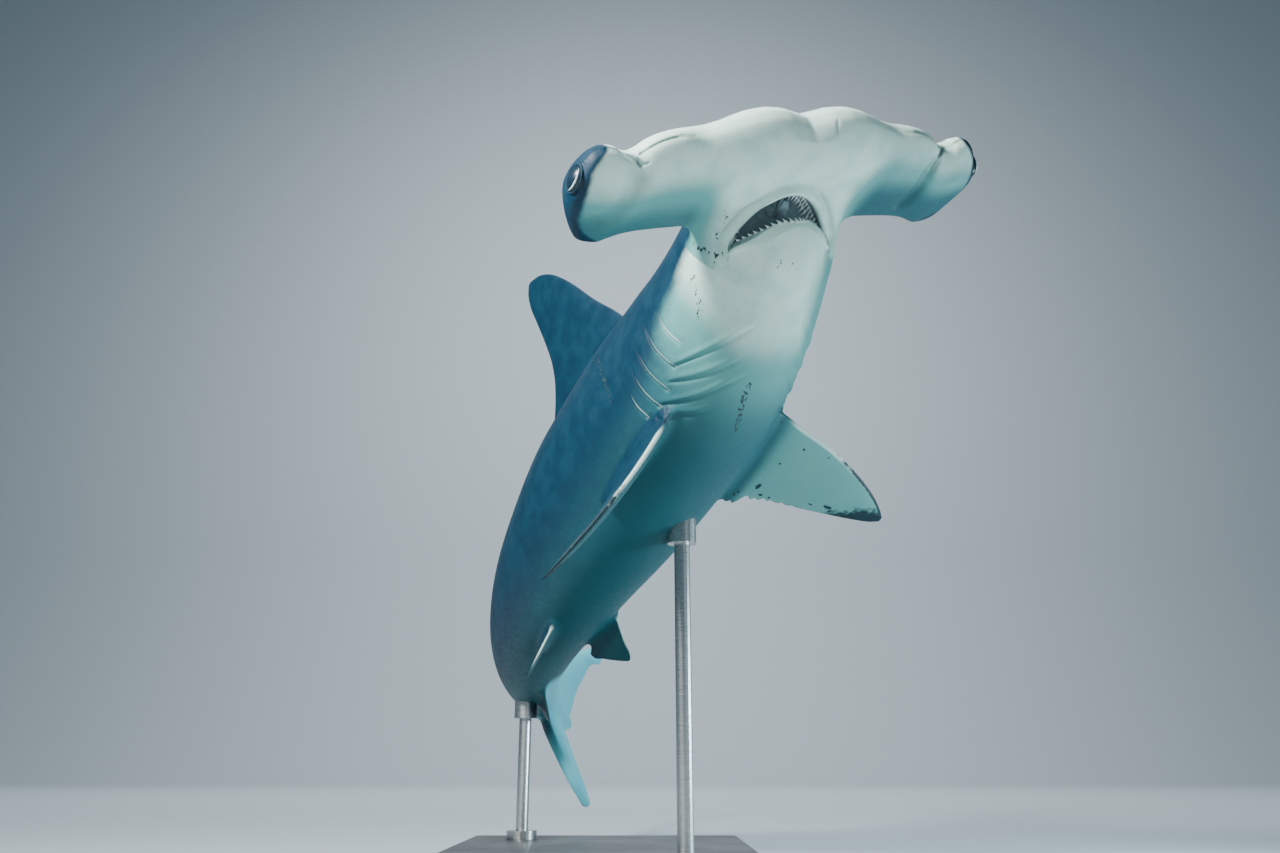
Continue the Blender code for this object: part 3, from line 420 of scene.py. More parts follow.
def make_spine():
    """Points and frames of the bent spine, carried both ways from the shoulder."""
    stations = np.linspace(0.0, 1.0, SPINE_STEPS + 1)
    step = stations[1]
    turns = []
    for station in stations:
        rates = [straight_line(table, station) for table in (TWIST, LEVEL_BEND, SIDE_BEND)]
        turn = Vector([math.radians(rate) * step for rate in rates])
        turns.append(Matrix.Rotation(turn.length, 3, turn) if turn.length else Matrix.Identity(3))
    shoulder = round(SHOULDER_STATION * SPINE_STEPS)
    angles = (math.radians(a) for a in (SHOULDER_ROLL, SHOULDER_PITCH, SHOULDER_YAW))
    frames = [None] * len(stations)
    points = [None] * len(stations)
    frames[shoulder] = Euler(tuple(angles), "XYZ").to_matrix()
    points[shoulder] = Vector(SHOULDER_POINT)
    travel = float(TOTAL_LENGTH * step / 2)
    for i in range(shoulder, SPINE_STEPS):
        frames[i + 1] = frames[i] @ turns[i]
        points[i + 1] = points[i] + travel * (frames[i].col[0] + frames[i + 1].col[0])
    for i in range(shoulder, 0, -1):
        frames[i - 1] = frames[i] @ turns[i].transposed()
        points[i - 1] = points[i] - travel * (frames[i].col[0] + frames[i - 1].col[0])
    return np.array([tuple(p) for p in points]), np.array([[tuple(row) for row in f] for f in frames])


SPINE_POINTS, SPINE_FRAMES = make_spine()


def spine_at(station):
    x = np.clip(station, 0.0, 1.0) * SPINE_STEPS
    i = np.clip(np.floor(x).astype(int), 0, SPINE_STEPS - 1)
    t = x - i
    points = SPINE_POINTS[i] * (1 - t)[..., None] + SPINE_POINTS[i + 1] * t[..., None]
    frames = SPINE_FRAMES[i] * (1 - t)[..., None, None] + SPINE_FRAMES[i + 1] * t[..., None, None]
    return points, frames


def bend(straight):
    """World places of straight points given as fractions of the total length."""
    straight = np.asarray(straight, float)
    points, frames = spine_at(straight[:, 0])
    across = straight[:, 1:2] * frames[:, :, 1] + straight[:, 2:3] * frames[:, :, 2]
    return points + TOTAL_LENGTH * across


def smooth_union(a, b, width):
    share = np.clip(0.5 + 0.5 * (b - a) / width, 0.0, 1.0)
    return b + (a - b) * share - width * share * (1 - share)


def smooth_cut(a, b, width):
    """Field a with the inside of field b taken away, its edge rounded."""
    return -smooth_union(-a, b, width)


class Plate:
    """A flat form: its outline's distance and half thickness, kept on a grid in its own plane.

    Places in the plane are x along the chord and q outward. Front and rear give x for q, and torn
    how far the rear edge is torn in.
    """
    CELL = 0.0008
    MARGIN = 0.024

    def __init__(self, front, rear, low, high, half_thickness, rounding=0.0004, torn=np.zeros_like):
        self.rounding = rounding
        self.front, self.rear, self.low_end, self.high_end = front, rear, low, high
        q = low + (high - low) * (0.5 - 0.5 * np.cos(np.linspace(0, math.pi, 281)))
        edge = np.concatenate([np.stack([front(q), q], 1), np.stack([rear(q) - torn(q), q], 1)[::-1]])
        self.low = edge.min(axis=0) - self.MARGIN
        size = np.ceil((edge.max(axis=0) + self.MARGIN - self.low) / self.CELL).astype(int) + 1
        x, y = [self.low[k] + self.CELL * np.arange(size[k]) for k in (0, 1)]
        grid_x, grid_y = np.meshgrid(x, y, indexing="ij")
        places = np.stack([grid_x.ravel(), grid_y.ravel()], 1)
        lead, trail = front(np.clip(y, low, high)), rear(np.clip(y, low, high))
        inside = (grid_x > lead) & (grid_x < trail - torn(y)) & (grid_y > low) & (grid_y < high)
        away = outline_distance(places, edge).reshape(size)
        self.depth = np.where(inside, away, -away)
        chord = np.clip((grid_x - lead) / (trail - lead), 0, 1)
        self.half = half_thickness(chord, grid_y, trail - lead)
        rise = np.gradient(self.half, self.CELL)
        self.lean = 1 / np.sqrt(1 + np.minimum(rise[0] ** 2 + rise[1] ** 2, 6.0))

    def read(self, table, x, q):
        """Value of a table between its grid points."""
        place = (np.stack([x, q], 1) - self.low) / self.CELL
        place = np.clip(place, 0, np.array(table.shape) - 1.001)
        i = place.astype(int)
        t = place - i
        a, b = i[:, 0], i[:, 1]
        return ((table[a, b] * (1 - t[:, 0]) + table[a + 1, b] * t[:, 0]) * (1 - t[:, 1])
                + (table[a, b + 1] * (1 - t[:, 0]) + table[a + 1, b + 1] * t[:, 0]) * t[:, 1])

    def field(self, x, q, z, scale=1.0):
        depth = self.read(self.depth, x, q)
        half = self.read(self.half, x, q) * scale
        lean = self.read(self.lean, x, q)
        over = np.abs(z) - half
        lean = lean + (1 - lean) * np.clip(np.abs(over) / 0.010, 0, 1)
        outside = np.hypot(np.minimum(depth, 0), np.maximum(over, 0))
        inside = -smooth_union(-over * lean, depth, self.rounding)
        return np.where(depth > 0, inside, np.maximum(outside, inside))


def outline_distance(places, edge):
    """Distance of each place from a closed line of edge points."""
    nearest = np.full(len(places), 1e9)
    for start, end in zip(edge, np.roll(edge, -1, axis=0)):
        along = end - start
        length = max(along @ along, 1e-12)
        t = np.clip((places - start) @ along / length, 0, 1)
        gap = places - start - t[:, None] * along
        nearest = np.minimum(nearest, gap[:, 0] ** 2 + gap[:, 1] ** 2)
    return np.sqrt(nearest)


def fin_half(thickness, low, high):
    """Half thickness of a fin, fullest behind its leading edge and thin at its tip."""
    def half(chord, q, length):
        reach = np.clip((q - low) / (high - low), 0, 1)
        fullness = FIN_FULLNESS * np.sqrt(chord) * (1 - chord) * np.minimum(1, length / FIN_SHORT_CHORD)
        return thickness / 2 * (1 - FIN_TAPER * reach) * fullness + FIN_EDGE / 2

    return half


def fin_plate(front, rear, thickness, notches=()):
    low, high = front[0][0], front[-1][0]

    def torn(q):
        return sum([deep * bell(q, at, wide) for at, deep, wide in notches], np.zeros_like(q))

    return Plate(lambda q: profile(front, q), lambda q: profile(rear, q), low, high,
                 fin_half(thickness, low, high), torn=torn)


def caudal_plate():
    """The tail fin's plate, thickest where it meets the stem."""
    low, high = CAUDAL_FRONT[0][0], CAUDAL_FRONT[-1][0]
    plain = fin_half(CAUDAL_THICKNESS, low, high)

    def half(chord, q, length):
        thin = np.clip(1 - np.abs(q - CAUDAL_MIDDLE) / CAUDAL_THINNING_REACH, CAUDAL_THINNEST, 1)
        return np.minimum(plain(chord, q, length) / thin, CAUDAL_THICKNESS / 2) * thin

    return Plate(lambda q: profile(CAUDAL_FRONT, q), lambda q: profile(CAUDAL_REAR, q), low, high, half)


def hammer_plate():
    half_span = FRONT_MARGIN[-1][0]

    def half(chord, q, length):
        thickness = profile(HAMMER_THICKNESS, np.abs(q[0]))
        fullness = np.sin(math.pi * np.clip(chord, 0, 1) ** 0.75) ** 0.8
        return HAMMER_EDGE / 2 + thickness / 2 * fullness

    return Plate(lambda q: profile(FRONT_MARGIN, np.abs(q)), lambda q: profile(REAR_MARGIN, np.abs(q)),
                 -half_span, half_span, half, HAMMER_ROUNDING)


class PairedFin:
    """A fin held stiffly at its base: turn is its dip below level, its pitch and its sweep."""

    def __init__(self, plate, side, origin, station, turn, droop, low, high):
        dip, pitch, sweep = (math.radians(a) for a in turn)
        self.plate, self.side, self.droop, self.station = plate, side, droop, station
        self.out = np.array([0.0, side * math.cos(dip), -math.sin(dip)])
        normal = np.cross((1.0, 0.0, 0.0), self.out)
        self.back = np.array([math.cos(pitch), 0.0, 0.0]) + normal * math.sin(pitch) * side
        self.face = np.cross(self.back, self.out) * side
        self.sweep = (math.cos(sweep), math.sin(sweep))
        self.origin = np.array([origin[0], side * origin[1], origin[2]])
        self.low, self.high = low, high

    def local(self, straight):
        """Chord place, outward place and height off the fin's face."""
        point, spine_frame = spine_at(np.array([self.station]))
        held = (bend(straight) - point[0]) @ spine_frame[0] / TOTAL_LENGTH
        held = held + np.array([self.station, 0, 0]) - self.origin
        behind, outward, aside = held @ self.back, held @ self.out, held @ self.face
        cos, sin = self.sweep
        aside = aside - self.droop * np.maximum(outward, 0) ** 2
        return behind * cos - outward * sin, outward * cos + behind * sin, aside

    def near(self, straight):
        u, y, w = straight.T
        return (u > self.low) & (u < self.high) & (y * self.side > -0.01) & (w < 0.06)

    def field(self, straight):
        return self.plate.field(*self.local(straight))

    def share(self, straight):
        """Points near the fin, places from its leading edge and its root, and how surely they are on it."""
        near = np.flatnonzero(self.near(straight))
        x, q, aside = self.local(straight[near])
        inner = np.clip(q, self.plate.low_end, self.plate.high_end)
        lead, trail = self.plate.front(inner), self.plate.rear(inner)
        inside = (x > lead - 0.002) & (x < trail + 0.003) & (q < self.plate.high_end + 0.003)
        return near, x, q, x - lead, trail - x, inside & (q > -0.012) & (np.abs(aside) < 0.012)


HAMMER = hammer_plate()
DORSAL = fin_plate(DORSAL_FRONT, DORSAL_REAR, FIN_THICKNESS)
SECOND_DORSAL = fin_plate(SECOND_DORSAL_FRONT, SECOND_DORSAL_REAR, SMALL_FIN_THICKNESS)
ANAL = fin_plate(ANAL_FRONT, ANAL_REAR, SMALL_FIN_THICKNESS)
CAUDAL = caudal_plate()
PECTORAL = fin_plate(PECTORAL_FRONT, PECTORAL_REAR, FIN_THICKNESS)
TORN_PECTORAL = fin_plate(PECTORAL_FRONT, PECTORAL_REAR, FIN_THICKNESS, NOTCHES)
PELVIC = fin_plate(PELVIC_FRONT, PELVIC_REAR, SMALL_FIN_THICKNESS)
# Plate, stations that it lies between, one or minus one for upward or downward, and its lowest height
MIDLINE_FINS = ((DORSAL, 0.22, 0.42, 1, 0.03), (SECOND_DORSAL, 0.58, 0.73, 1, 0.0),
                (ANAL, 0.57, 0.72, -1, 0.0), (CAUDAL, 0.68, 1.0, 1, -1.0))
PAIRED_FINS = {
    "pectoral_right": PairedFin(PECTORAL, 1, PECTORAL_ORIGIN, PECTORAL_STATION, RIGHT_PECTORAL_TURN,
                                RIGHT_PECTORAL_DROOP, 0.19, 0.38),
    "pectoral_left": PairedFin(TORN_PECTORAL, -1, PECTORAL_ORIGIN, PECTORAL_STATION, LEFT_PECTORAL_TURN,
                               LEFT_PECTORAL_DROOP, 0.19, 0.38),
    "pelvic_right": PairedFin(PELVIC, 1, PELVIC_ORIGIN, PELVIC_STATION, RIGHT_PELVIC_TURN, 0.0, 0.43, 0.57),
    "pelvic_left": PairedFin(PELVIC, -1, PELVIC_ORIGIN, PELVIC_STATION, LEFT_PELVIC_TURN, 0.0, 0.43, 0.57),
}


def body_field(u, y, w):
    """Distance from the body's rounded tube."""
    width, top, bottom = profile(GIRTH, u).T
    height = np.where(w > 0, top, bottom)
    reach = np.hypot(y, w) + 1e-9
    side = reach - reach / (np.hypot(y / width, w / height) + 1e-9)
    return np.maximum(side, np.maximum(GIRTH[0][0] - u, u - GIRTH[-1][0]))


def hammer_chord(u, y):
    """Share of the way from the hammer's front margin to its rear one."""
    front, rear = profile(FRONT_MARGIN, np.abs(y)), profile(REAR_MARGIN, np.abs(y))
    return np.clip((u - front) / (rear - front), 0, 1)


def hammer_field(u, y, w):
    chord = hammer_chord(u, y)
    z = w - HAMMER_FRONT_LEVEL - (HAMMER_REAR_LEVEL - HAMMER_FRONT_LEVEL) * chord
    share = HAMMER_TOP_SHARE + (1 - 2 * HAMMER_TOP_SHARE) * smooth_step(0.008, -0.008, z)
    return HAMMER.field(u, y, z, 2 * share)


def part_field(straight, swell):
    """The whole animal with plain skin, its fins thickened by swell."""
    u, y, w = straight.T
    total = body_field(u, y, w)
    near = u < 0.13
    if near.any():
        total[near] = smooth_union(total[near], hammer_field(u[near], y[near], w[near]), HAMMER_FILLET)
    for plate, low, high, up, floor in MIDLINE_FINS:
        near = (u > low) & (u < high) & (up * w > floor)
        if near.any():
            fin = plate.field(u[near], up * w[near], y[near]) - swell
            total[near] = smooth_union(total[near], fin, FIN_FILLET)
    for fin in PAIRED_FINS.values():
        near = fin.near(straight) & (total < 0.2)
        if near.any():
            total[near] = smooth_union(total[near], fin.field(straight[near]) - swell, FIN_FILLET)
    return total


def arch_field(u, y, lip):
    """Distance outside the arch of a jaw, a parabola from the lip to the mouth's corners."""
    depth = MOUTH_CORNER - lip
    value = (y / MOUTH_HALF_WIDTH) ** 2 * depth + lip - u
    return value / np.sqrt(1 + (2 * y * depth / MOUTH_HALF_WIDTH ** 2) ** 2)


def jaw_level(u, y, lip, edge, middle):
    """Height of a jaw's inner face, from its edge at the arch to its middle."""
    share = np.clip((u - lip) / (MOUTH_CORNER - lip), 1e-6, 1.0)
    side = np.clip(np.abs(y) / (MOUTH_HALF_WIDTH * np.sqrt(share)), 0, 1)
    return edge + (middle - edge) * (1 - side ** 2)


def roof_at(u, y):
    return jaw_level(u, y, UPPER_LIP, profile(LIP_LINE, u), profile(PALATE, u))


def ground_at(u, y):
    rim = profile(JAW_RIM, u)
    return jaw_level(u, y, LOWER_LIP, rim, rim - profile(JAW_HOLLOW, u))


def mouth_field(u, y, w):
    """Distance outside the open mouth, which lies between the palate and the lower jaw."""
    gape = np.maximum(arch_field(u, y, UPPER_LIP), w - roof_at(u, y))
    jaw = np.maximum(arch_field(u, y, LOWER_LIP), w - ground_at(u, y))
    return np.maximum(np.maximum(gape, -jaw), u - MOUTH_CORNER - 0.001)


def line_distance(straight, path):
    """Distance from an open line of points."""
    nearest = np.full(len(straight), 1e9)
    for start, end in zip(path[:-1], path[1:]):
        start, along = np.array(start, float), np.array(end, float) - np.array(start, float)
        t = np.clip((straight - start) @ along / (along @ along), 0, 1)
        gap = straight - start - t[:, None] * along
        nearest = np.minimum(nearest, (gap ** 2).sum(axis=1))
    return np.sqrt(nearest)


def flank_angle(u, y, w):
    """Degrees round the body from the belly's midline to its back."""
    width, top, bottom = profile(GIRTH, u).T
    return np.degrees(np.arctan2(np.abs(y) / width, -w / np.where(w > 0, top, bottom)))


def gill_places(u, y, w):
    """For each gill slit, the share of the way up it, the distance behind it and its depth."""
    angle = flank_angle(u, y, w)
    for station, low, high, depth in zip(GILL_STATIONS, GILL_LOW_ANGLES, GILL_HIGH_ANGLES, GILL_DEPTHS):
        swing = np.clip((angle - low) / (high - low), -0.2, 1.2)
        yield swing, u - (station - GILL_BOW * np.maximum(swing, 0) ** 4), depth


def gill_relief(u, y, w):
    """How far the skin sinks at the gill slits, each behind a raised flap."""
    sink = np.zeros(len(u))
    for swing, behind, depth in gill_places(u, y, w):
        window = smooth_step(-0.04, 0.10, swing) * smooth_step(1.05, 0.45, swing)
        slit = bell(behind, 0, GILL_WIDTH)
        ledge = np.exp(-np.maximum(behind, 0) / GILL_LEDGE) * smooth_step(-0.0004, 0.0010, behind)
        flap = bell(behind, *GILL_FLAP)
        sink += window * (depth * slit + depth * GILL_LEDGE_SHARE * ledge - depth * GILL_FLAP_SHARE * flap)
    return sink


def throat_relief(u, y, w):
    """Soft folds that run from the gill slits towards the throat."""
    angle = flank_angle(u, y, w)
    sink = np.zeros(len(u))
    for fold in THROAT_FOLDS:
        behind = u - profile(fold, angle)
        low, high = fold[0][0], fold[-1][0]
        window = smooth_step(low - 5, low + 16, angle) * smooth_step(high + 5, high - 5, angle)
        furrow, ridge = bell(behind, *FOLD_FURROW), bell(behind, *FOLD_RIDGE)
        sink += window * (FOLD_DEPTH * furrow - FOLD_HEIGHT * ridge)
    return sink


def lip_relief(u, y, w):
    """The rolled fold round the upper lip, and a furrow outside it."""
    off = arch_field(u, y, UPPER_LIP)
    under = smooth_step(0.0, -0.008, w) * smooth_step(0.094, 0.080, u)
    return under * (LIP_FURROW_DEPTH * bell(off, *LIP_FURROW) - LIP_ROLL_HEIGHT * bell(off, *LIP_ROLL))


def hammer_relief(u, y, w):
    """Soft furrows and lobes of the hammer's underside."""
    flat = np.stack([u, y], 1)
    sink = np.zeros(len(u))
    for path, width, depth in HAMMER_FURROWS:
        sink += depth * bell(line_distance(flat, path), 0, width)
    lobe = np.hypot(u - WING_LOBE_PLACE[0], np.abs(y) - WING_LOBE_PLACE[1])
    sink -= WING_LOBE_HEIGHT * bell(lobe, 0, WING_LOBE_SPREAD)
    jaw = smooth_step(0.0025, -0.0035, arch_field(u, y, LOWER_LIP)) * smooth_step(0.118, 0.085, u)
    corner = (bell(u, JAW_CORNER[0], JAW_CORNER_SPREAD[0])
              * bell(np.abs(y), JAW_CORNER[1], JAW_CORNER_SPREAD[1]))
    sink += (JAW_CORNER_DENT * corner - JAW_SWELL) * jaw
    return sink * smooth_step(0.0, -0.008, w)


def muzzle_field(u, y, w):
    """Distance outside the hollow round the jaw, where the head's underside lies flat."""
    step = 0.001
    level = profile(MUZZLE_LEVEL, u) - 0.5 * np.maximum(np.abs(y) - MUZZLE_REACH, 0)
    slope = (profile(MUZZLE_LEVEL, u + step) - profile(MUZZLE_LEVEL, u - step)) / (2 * step)
    return np.maximum((w - level) / np.hypot(1, slope), -arch_field(u, y, LOWER_LIP))


def head_form(u, y, w, plain):
    """The head with its soft forms but without its openings."""
    total = plain + hammer_relief(u, y, w)
    middle = (np.abs(y) < 0.06) & (u > 0.030)
    near = u[middle], y[middle], w[middle]
    total[middle] = smooth_cut(total[middle], muzzle_field(*near), MUZZLE_ROUNDING) + lip_relief(*near)
    return total


def form_field(straight):
    """The animal without its openings."""
    total = part_field(straight, 0.0)
    head = straight[:, 0] < 0.12
    total[head] = head_form(*straight[head].T, total[head])
    return total


def slope_of(straight, small=0.0008):
    """Outward direction and value of the plain form."""
    here = in_chunks(form_field, straight)
    ahead = [in_chunks(form_field, straight + small * step) for step in np.eye(3)]
    slope = np.stack(ahead, 1) - here[:, None]
    return slope / np.maximum(np.linalg.norm(slope, axis=1), 1e-9)[:, None], here


def in_chunks(field, straight, **options):
    parts = [field(straight[i:i + CHUNK], **options) for i in range(0, len(straight), CHUNK)]
    return np.concatenate(parts) if parts else np.zeros(0)


def skin_along(start, direction, low, high):
    """Places where lines from the start cross the plain form, searched between two distances."""
    inner, outer = np.full(len(start), low), np.full(len(start), high)
    for _ in range(24):
        middle = (inner + outer) / 2
        inside = form_field(start + middle[:, None] * direction) < 0
        inner, outer = np.where(inside, middle, inner), np.where(inside, outer, middle)
    return inner


def eye_frame(side):
    """Place of the eye on the skin, and its rearward, downward and outward directions."""
    start = np.array([[EYE_PLACE[0], 0.0, EYE_PLACE[1]]])
    outward = np.array([[0.0, side, 0.0]])
    place = start + skin_along(start, outward, 0.10, 0.15)[:, None] * outward
    normal = slope_of(place, 0.004)[0][0]
    rear = np.array([1.0, 0.0, 0.0]) - normal[0] * normal
    rear = rear / np.linalg.norm(rear)
    return place[0], (rear, np.cross(normal, rear) * side * EYE_SQUEEZE, normal)


def on_side(path, side):
    return [(u, side * y, w) for u, y, w in path]


EYE_FRAMES = {side: eye_frame(side) for side in (1, -1)}


def nostril_paths(side):
    """Paths and radii of the nostril's slit and of the grooves beside it."""
    across = np.linspace(*NARIAL_GROOVE_ENDS, 8)
    inner = [(profile(FRONT_MARGIN, y)[0] + 0.0013, y, -0.0085) for y in across]
    paths = [(NOSTRIL_SLIT, 0.0012), (NOSTRIL_TAIL, 0.0006), (inner, 0.0006)]
    paths += [(groove, 0.0005) for groove in NOSTRIL_GROOVES]
    return [(on_side(path, side), radius) for path, radius in paths]


def skin_field(straight, swell=0.0):
    """The animal with all its relief."""
    total = part_field(straight, swell)
    u, y, w = straight.T
    gills = (u > 0.155) & (u < 0.245) & (np.abs(total) < 0.02)
    if gills.any():
        total[gills] += gill_relief(u[gills], y[gills], w[gills])
    throat = (u > 0.12) & (u < 0.235) & (w < 0) & (np.abs(total) < 0.02)
    if throat.any():
        total[throat] += throat_relief(u[throat], y[throat], w[throat])
    head = (u < 0.115) & (np.abs(total) < 0.035)
    if head.any():
        total[head] = head_field(straight[head], total[head])
    return total


def head_field(straight, plain):
    """The head's field with the mouth and nostrils cut into it."""
    u, y, w = straight.T
    total = smooth_cut(head_form(u, y, w, plain), mouth_field(u, y, w), LIP_ROUNDING)
    near = np.abs(y) > 0.08
    part = straight[near]
    value = total[near]
    for side in (1, -1):
        for path, radius in nostril_paths(side):
            value = smooth_cut(value, line_distance(part, path) - radius, 0.0010)
    total[near] = value
    near = np.abs(y) < 0.06
    for side in (1, -1):
        furrow = line_distance(straight[near], on_side(LABIAL_FURROW, side)) - 0.0005
        total[near] = smooth_cut(total[near], furrow, 0.0012)
    return total


CORNERS = np.array([(i, j, k) for i in (0, 1) for j in (0, 1) for k in (0, 1)])
EDGES = [(a, b) for a in range(8) for b in range(a + 1, 8) if np.abs(CORNERS[a] - CORNERS[b]).sum() == 1]
KEY_SPAN = 4096


def key_of(cells):
    cells = cells + 1
    return (cells[..., 0] * KEY_SPAN + cells[..., 1]) * KEY_SPAN + cells[..., 2]


def surface_cells():
    """Small cells near the surface, found by halving large ones."""
    low = np.array(FIELD_LOW)
    size = COARSE_CELL
    counts = np.ceil((np.array(FIELD_HIGH) - low) / size).astype(int)
    axes = np.meshgrid(*[np.arange(n) for n in counts], indexing="ij")
    cells = np.stack(axes, axis=-1).reshape(-1, 3)
    for halving in range(HALVINGS + 1):
        value = in_chunks(skin_field, low + (cells + 0.5) * size, swell=FIN_SWELL)
        cells = cells[np.abs(value) < 0.5 * math.sqrt(3) * size * 1.2 + 0.0006]
        if halving < HALVINGS:
            cells = (cells[:, None] * 2 + CORNERS).reshape(-1, 3)
            size /= 2
    return cells, low, size


def corner_values(cells, low, size):
    """Field at the eight corners of each cell."""
    corners = cells[:, None] + CORNERS
    keys, first, inverse = np.unique(key_of(corners), return_index=True, return_inverse=True)
    places = low + corners.reshape(-1, 3)[first] * size
    return in_chunks(skin_field, places, swell=FIN_SWELL)[inverse].reshape(-1, 8)


def is_crossed(value):
    return (value.min(axis=1) < 0) & (value.max(axis=1) >= 0)


def crossed_cells():
    """Every cell that the surface crosses, followed from neighbour to neighbour."""
    front, low, size = surface_cells()
    seen = np.zeros(0, dtype=np.int64)
    kept, values = [], []
    while len(front):
        value = corner_values(front, low, size)
        seen = np.concatenate([seen, key_of(front)])
        crossed = is_crossed(value)
        kept.append(front[crossed])
        values.append(value[crossed])
        beyond = []
        for axis in range(3):
            for end in (0, 1):
                face = value[:, CORNERS[:, axis] == end]
                step = np.eye(3, dtype=int)[axis] * (2 * end - 1)
                beyond.append(front[is_crossed(face)] + step)
        beyond = np.concatenate(beyond)
        keys, first = np.unique(key_of(beyond), return_index=True)
        front = beyond[first[~np.isin(keys, seen)]]
    return np.concatenate(kept), np.concatenate(values), low, size


def polygonise():
    """Points and four-sided faces of the field's surface."""
    cells, value, low, size = crossed_cells()
    order = np.argsort(key_of(cells))
    cells, value = cells[order], value[order]
    total, count = np.zeros((len(cells), 3)), np.zeros(len(cells))
    for a, b in EDGES:
        cut = (value[:, a] < 0) != (value[:, b] < 0)
        t = value[cut, a] / (value[cut, a] - value[cut, b])
        total[cut] += CORNERS[a] + t[:, None] * (CORNERS[b] - CORNERS[a])
        count[cut] += 1
    points = low + (cells + total / count[:, None]) * size
    cell_keys = key_of(cells)
    steps = np.eye(3, dtype=int)
    faces = []
    for axis, (side, up) in enumerate(((1, 2), (2, 0), (0, 1))):
        tip = int(np.flatnonzero((CORNERS == steps[axis]).all(axis=1))[0])
        cut = (value[:, 0] < 0) != (value[:, tip] < 0)
        ring = [cells[cut], cells[cut] - steps[side], cells[cut] - steps[side] - steps[up],
                cells[cut] - steps[up]]
        found = np.stack([np.searchsorted(cell_keys, key_of(r)) for r in ring], axis=1)
        inward = value[cut, 0] >= 0
        found[inward] = found[inward][:, ::-1]
        faces.append(found)
    return points, np.concatenate(faces)


def settle(points, rounds, reach):
    """Moves points onto the true surface along the field's slope."""
    small = 0.0002
    for _ in range(rounds):
        value = in_chunks(skin_field, points)
        slope = np.stack([in_chunks(skin_field, points + small * step) - value for step in np.eye(3)], 1)
        slope /= small
        move = -value / np.maximum((slope ** 2).sum(axis=1), 0.3)
        points = points + np.clip(move, -reach, reach)[:, None] * slope
    return points


def fine_zone(points):
    """Where the skin carries small forms and needs smaller faces."""
    u, y, w = points.T
    mouth = (u > 0.050) & (u < 0.104) & (np.abs(y) < 0.045) & (w < 0.004)
    wing_end = (np.abs(y) > 0.084) & (u < 0.045) & (w < 0.004)
    eye = np.hypot(u - EYE_PLACE[0], w - EYE_PLACE[1]) < 0.013
    gills = (u > 0.158) & (u < 0.236)
    angle = flank_angle(u, y, w)
    torn = np.zeros(len(u), bool)
    near, _, q, _, before_trail, on_it = PAIRED_FINS["pectoral_left"].share(points)
    torn[near] = on_it & (before_trail < 0.012) & (q < 0.060)
    return mouth | wing_end | (eye & (np.abs(y) > 0.12)) | (gills & (angle > 48) & (angle < 112)) | torn


def mesh_from(name, points, faces):
    mesh = bpy.data.meshes.new(name)
    mesh.vertices.add(len(points))
    mesh.vertices.foreach_set("co", np.asarray(points, np.float32).ravel())
    mesh.loops.add(faces.size)
    mesh.loops.foreach_set("vertex_index", faces.ravel().astype(np.int32))
    mesh.polygons.add(len(faces))
    mesh.polygons.foreach_set("loop_start", np.arange(0, faces.size, faces.shape[1], dtype=np.int32))
    mesh.update(calc_edges=True)
    mesh.validate()
    return mesh


def points_of(mesh):
    flat = np.empty(len(mesh.vertices) * 3)
    mesh.vertices.foreach_get("co", flat)
    return flat.reshape(-1, 3)


def refine(mesh):
    """Halves the faces of the fine zone."""
    work = bmesh.new()
    work.from_mesh(mesh)
    inside = fine_zone(points_of(mesh))
    edges = [e for e in work.edges if inside[e.verts[0].index] and inside[e.verts[1].index]]
    bmesh.ops.subdivide_edges(work, edges=edges, cuts=1, use_grid_fill=True)
    bmesh.ops.triangulate(work, faces=[f for f in work.faces if len(f.verts) > 4])
    work.to_mesh(mesh)
    work.free()


def near_path(straight, path, width):
    """One on the path, falling to nothing at the width."""
    return smooth_step(width, 0.3 * width, line_distance(straight, path))


def lit_tail_share(u, y, start, end):
    """One on the tail fin and on the left side of its stem, painted pale: partly the fin's own pale colour,
    partly painted light where light falls on that side.
    """
    stem = smooth_step(0.55, 0.62, u) * smooth_step(0.002, -0.004, y)
    return np.maximum(smooth_step(start, end, u), stem)


def back_shade(straight, normal):
    """Below zero on the belly and above zero on the back, about one away from their line."""
    u, y, w = straight.T
    up = normal[:, 2]
    line, softness = profile(BACK_LINE, u), profile(BACK_SOFTNESS, u)
    chord = hammer_chord(u, y)
    wing = np.maximum(smooth_step(0.046, 0.062, np.abs(y)), smooth_step(0.060, 0.045, u)) * (u < HEAD_END)
    line = line + wing * (HAMMER_FRONT_LINE + (HAMMER_REAR_LINE - HAMMER_FRONT_LINE) * chord - line)
    softness = softness + wing * (HAMMER_SOFTNESS - softness)
    for fin in PAIRED_FINS.values():
        near, _, q, _, _, on_it = fin.share(straight)
        on_fin = smooth_step(0.006, 0.024, q) * on_it
        line[near] += on_fin * (FIN_LINE - line[near])
        softness[near] += on_fin * (FIN_SOFTNESS - softness[near])
    shade = (up - line) / softness
    cap_edge = profile(WING_CAP, u)
    cap = smooth_step(-WING_CAP_SOFTNESS, WING_CAP_SOFTNESS, np.abs(y) - cap_edge) * (u < HEAD_END)
    shade = np.maximum(shade, 4.5 * cap - 2.2 + 0.6 * up)
    # The tail and the left side of its stem take the belly's colour, partly as painted light
    tail = lit_tail_share(u, y, 0.715, 0.745)
    return shade * (1 - tail) - 1.3 * tail


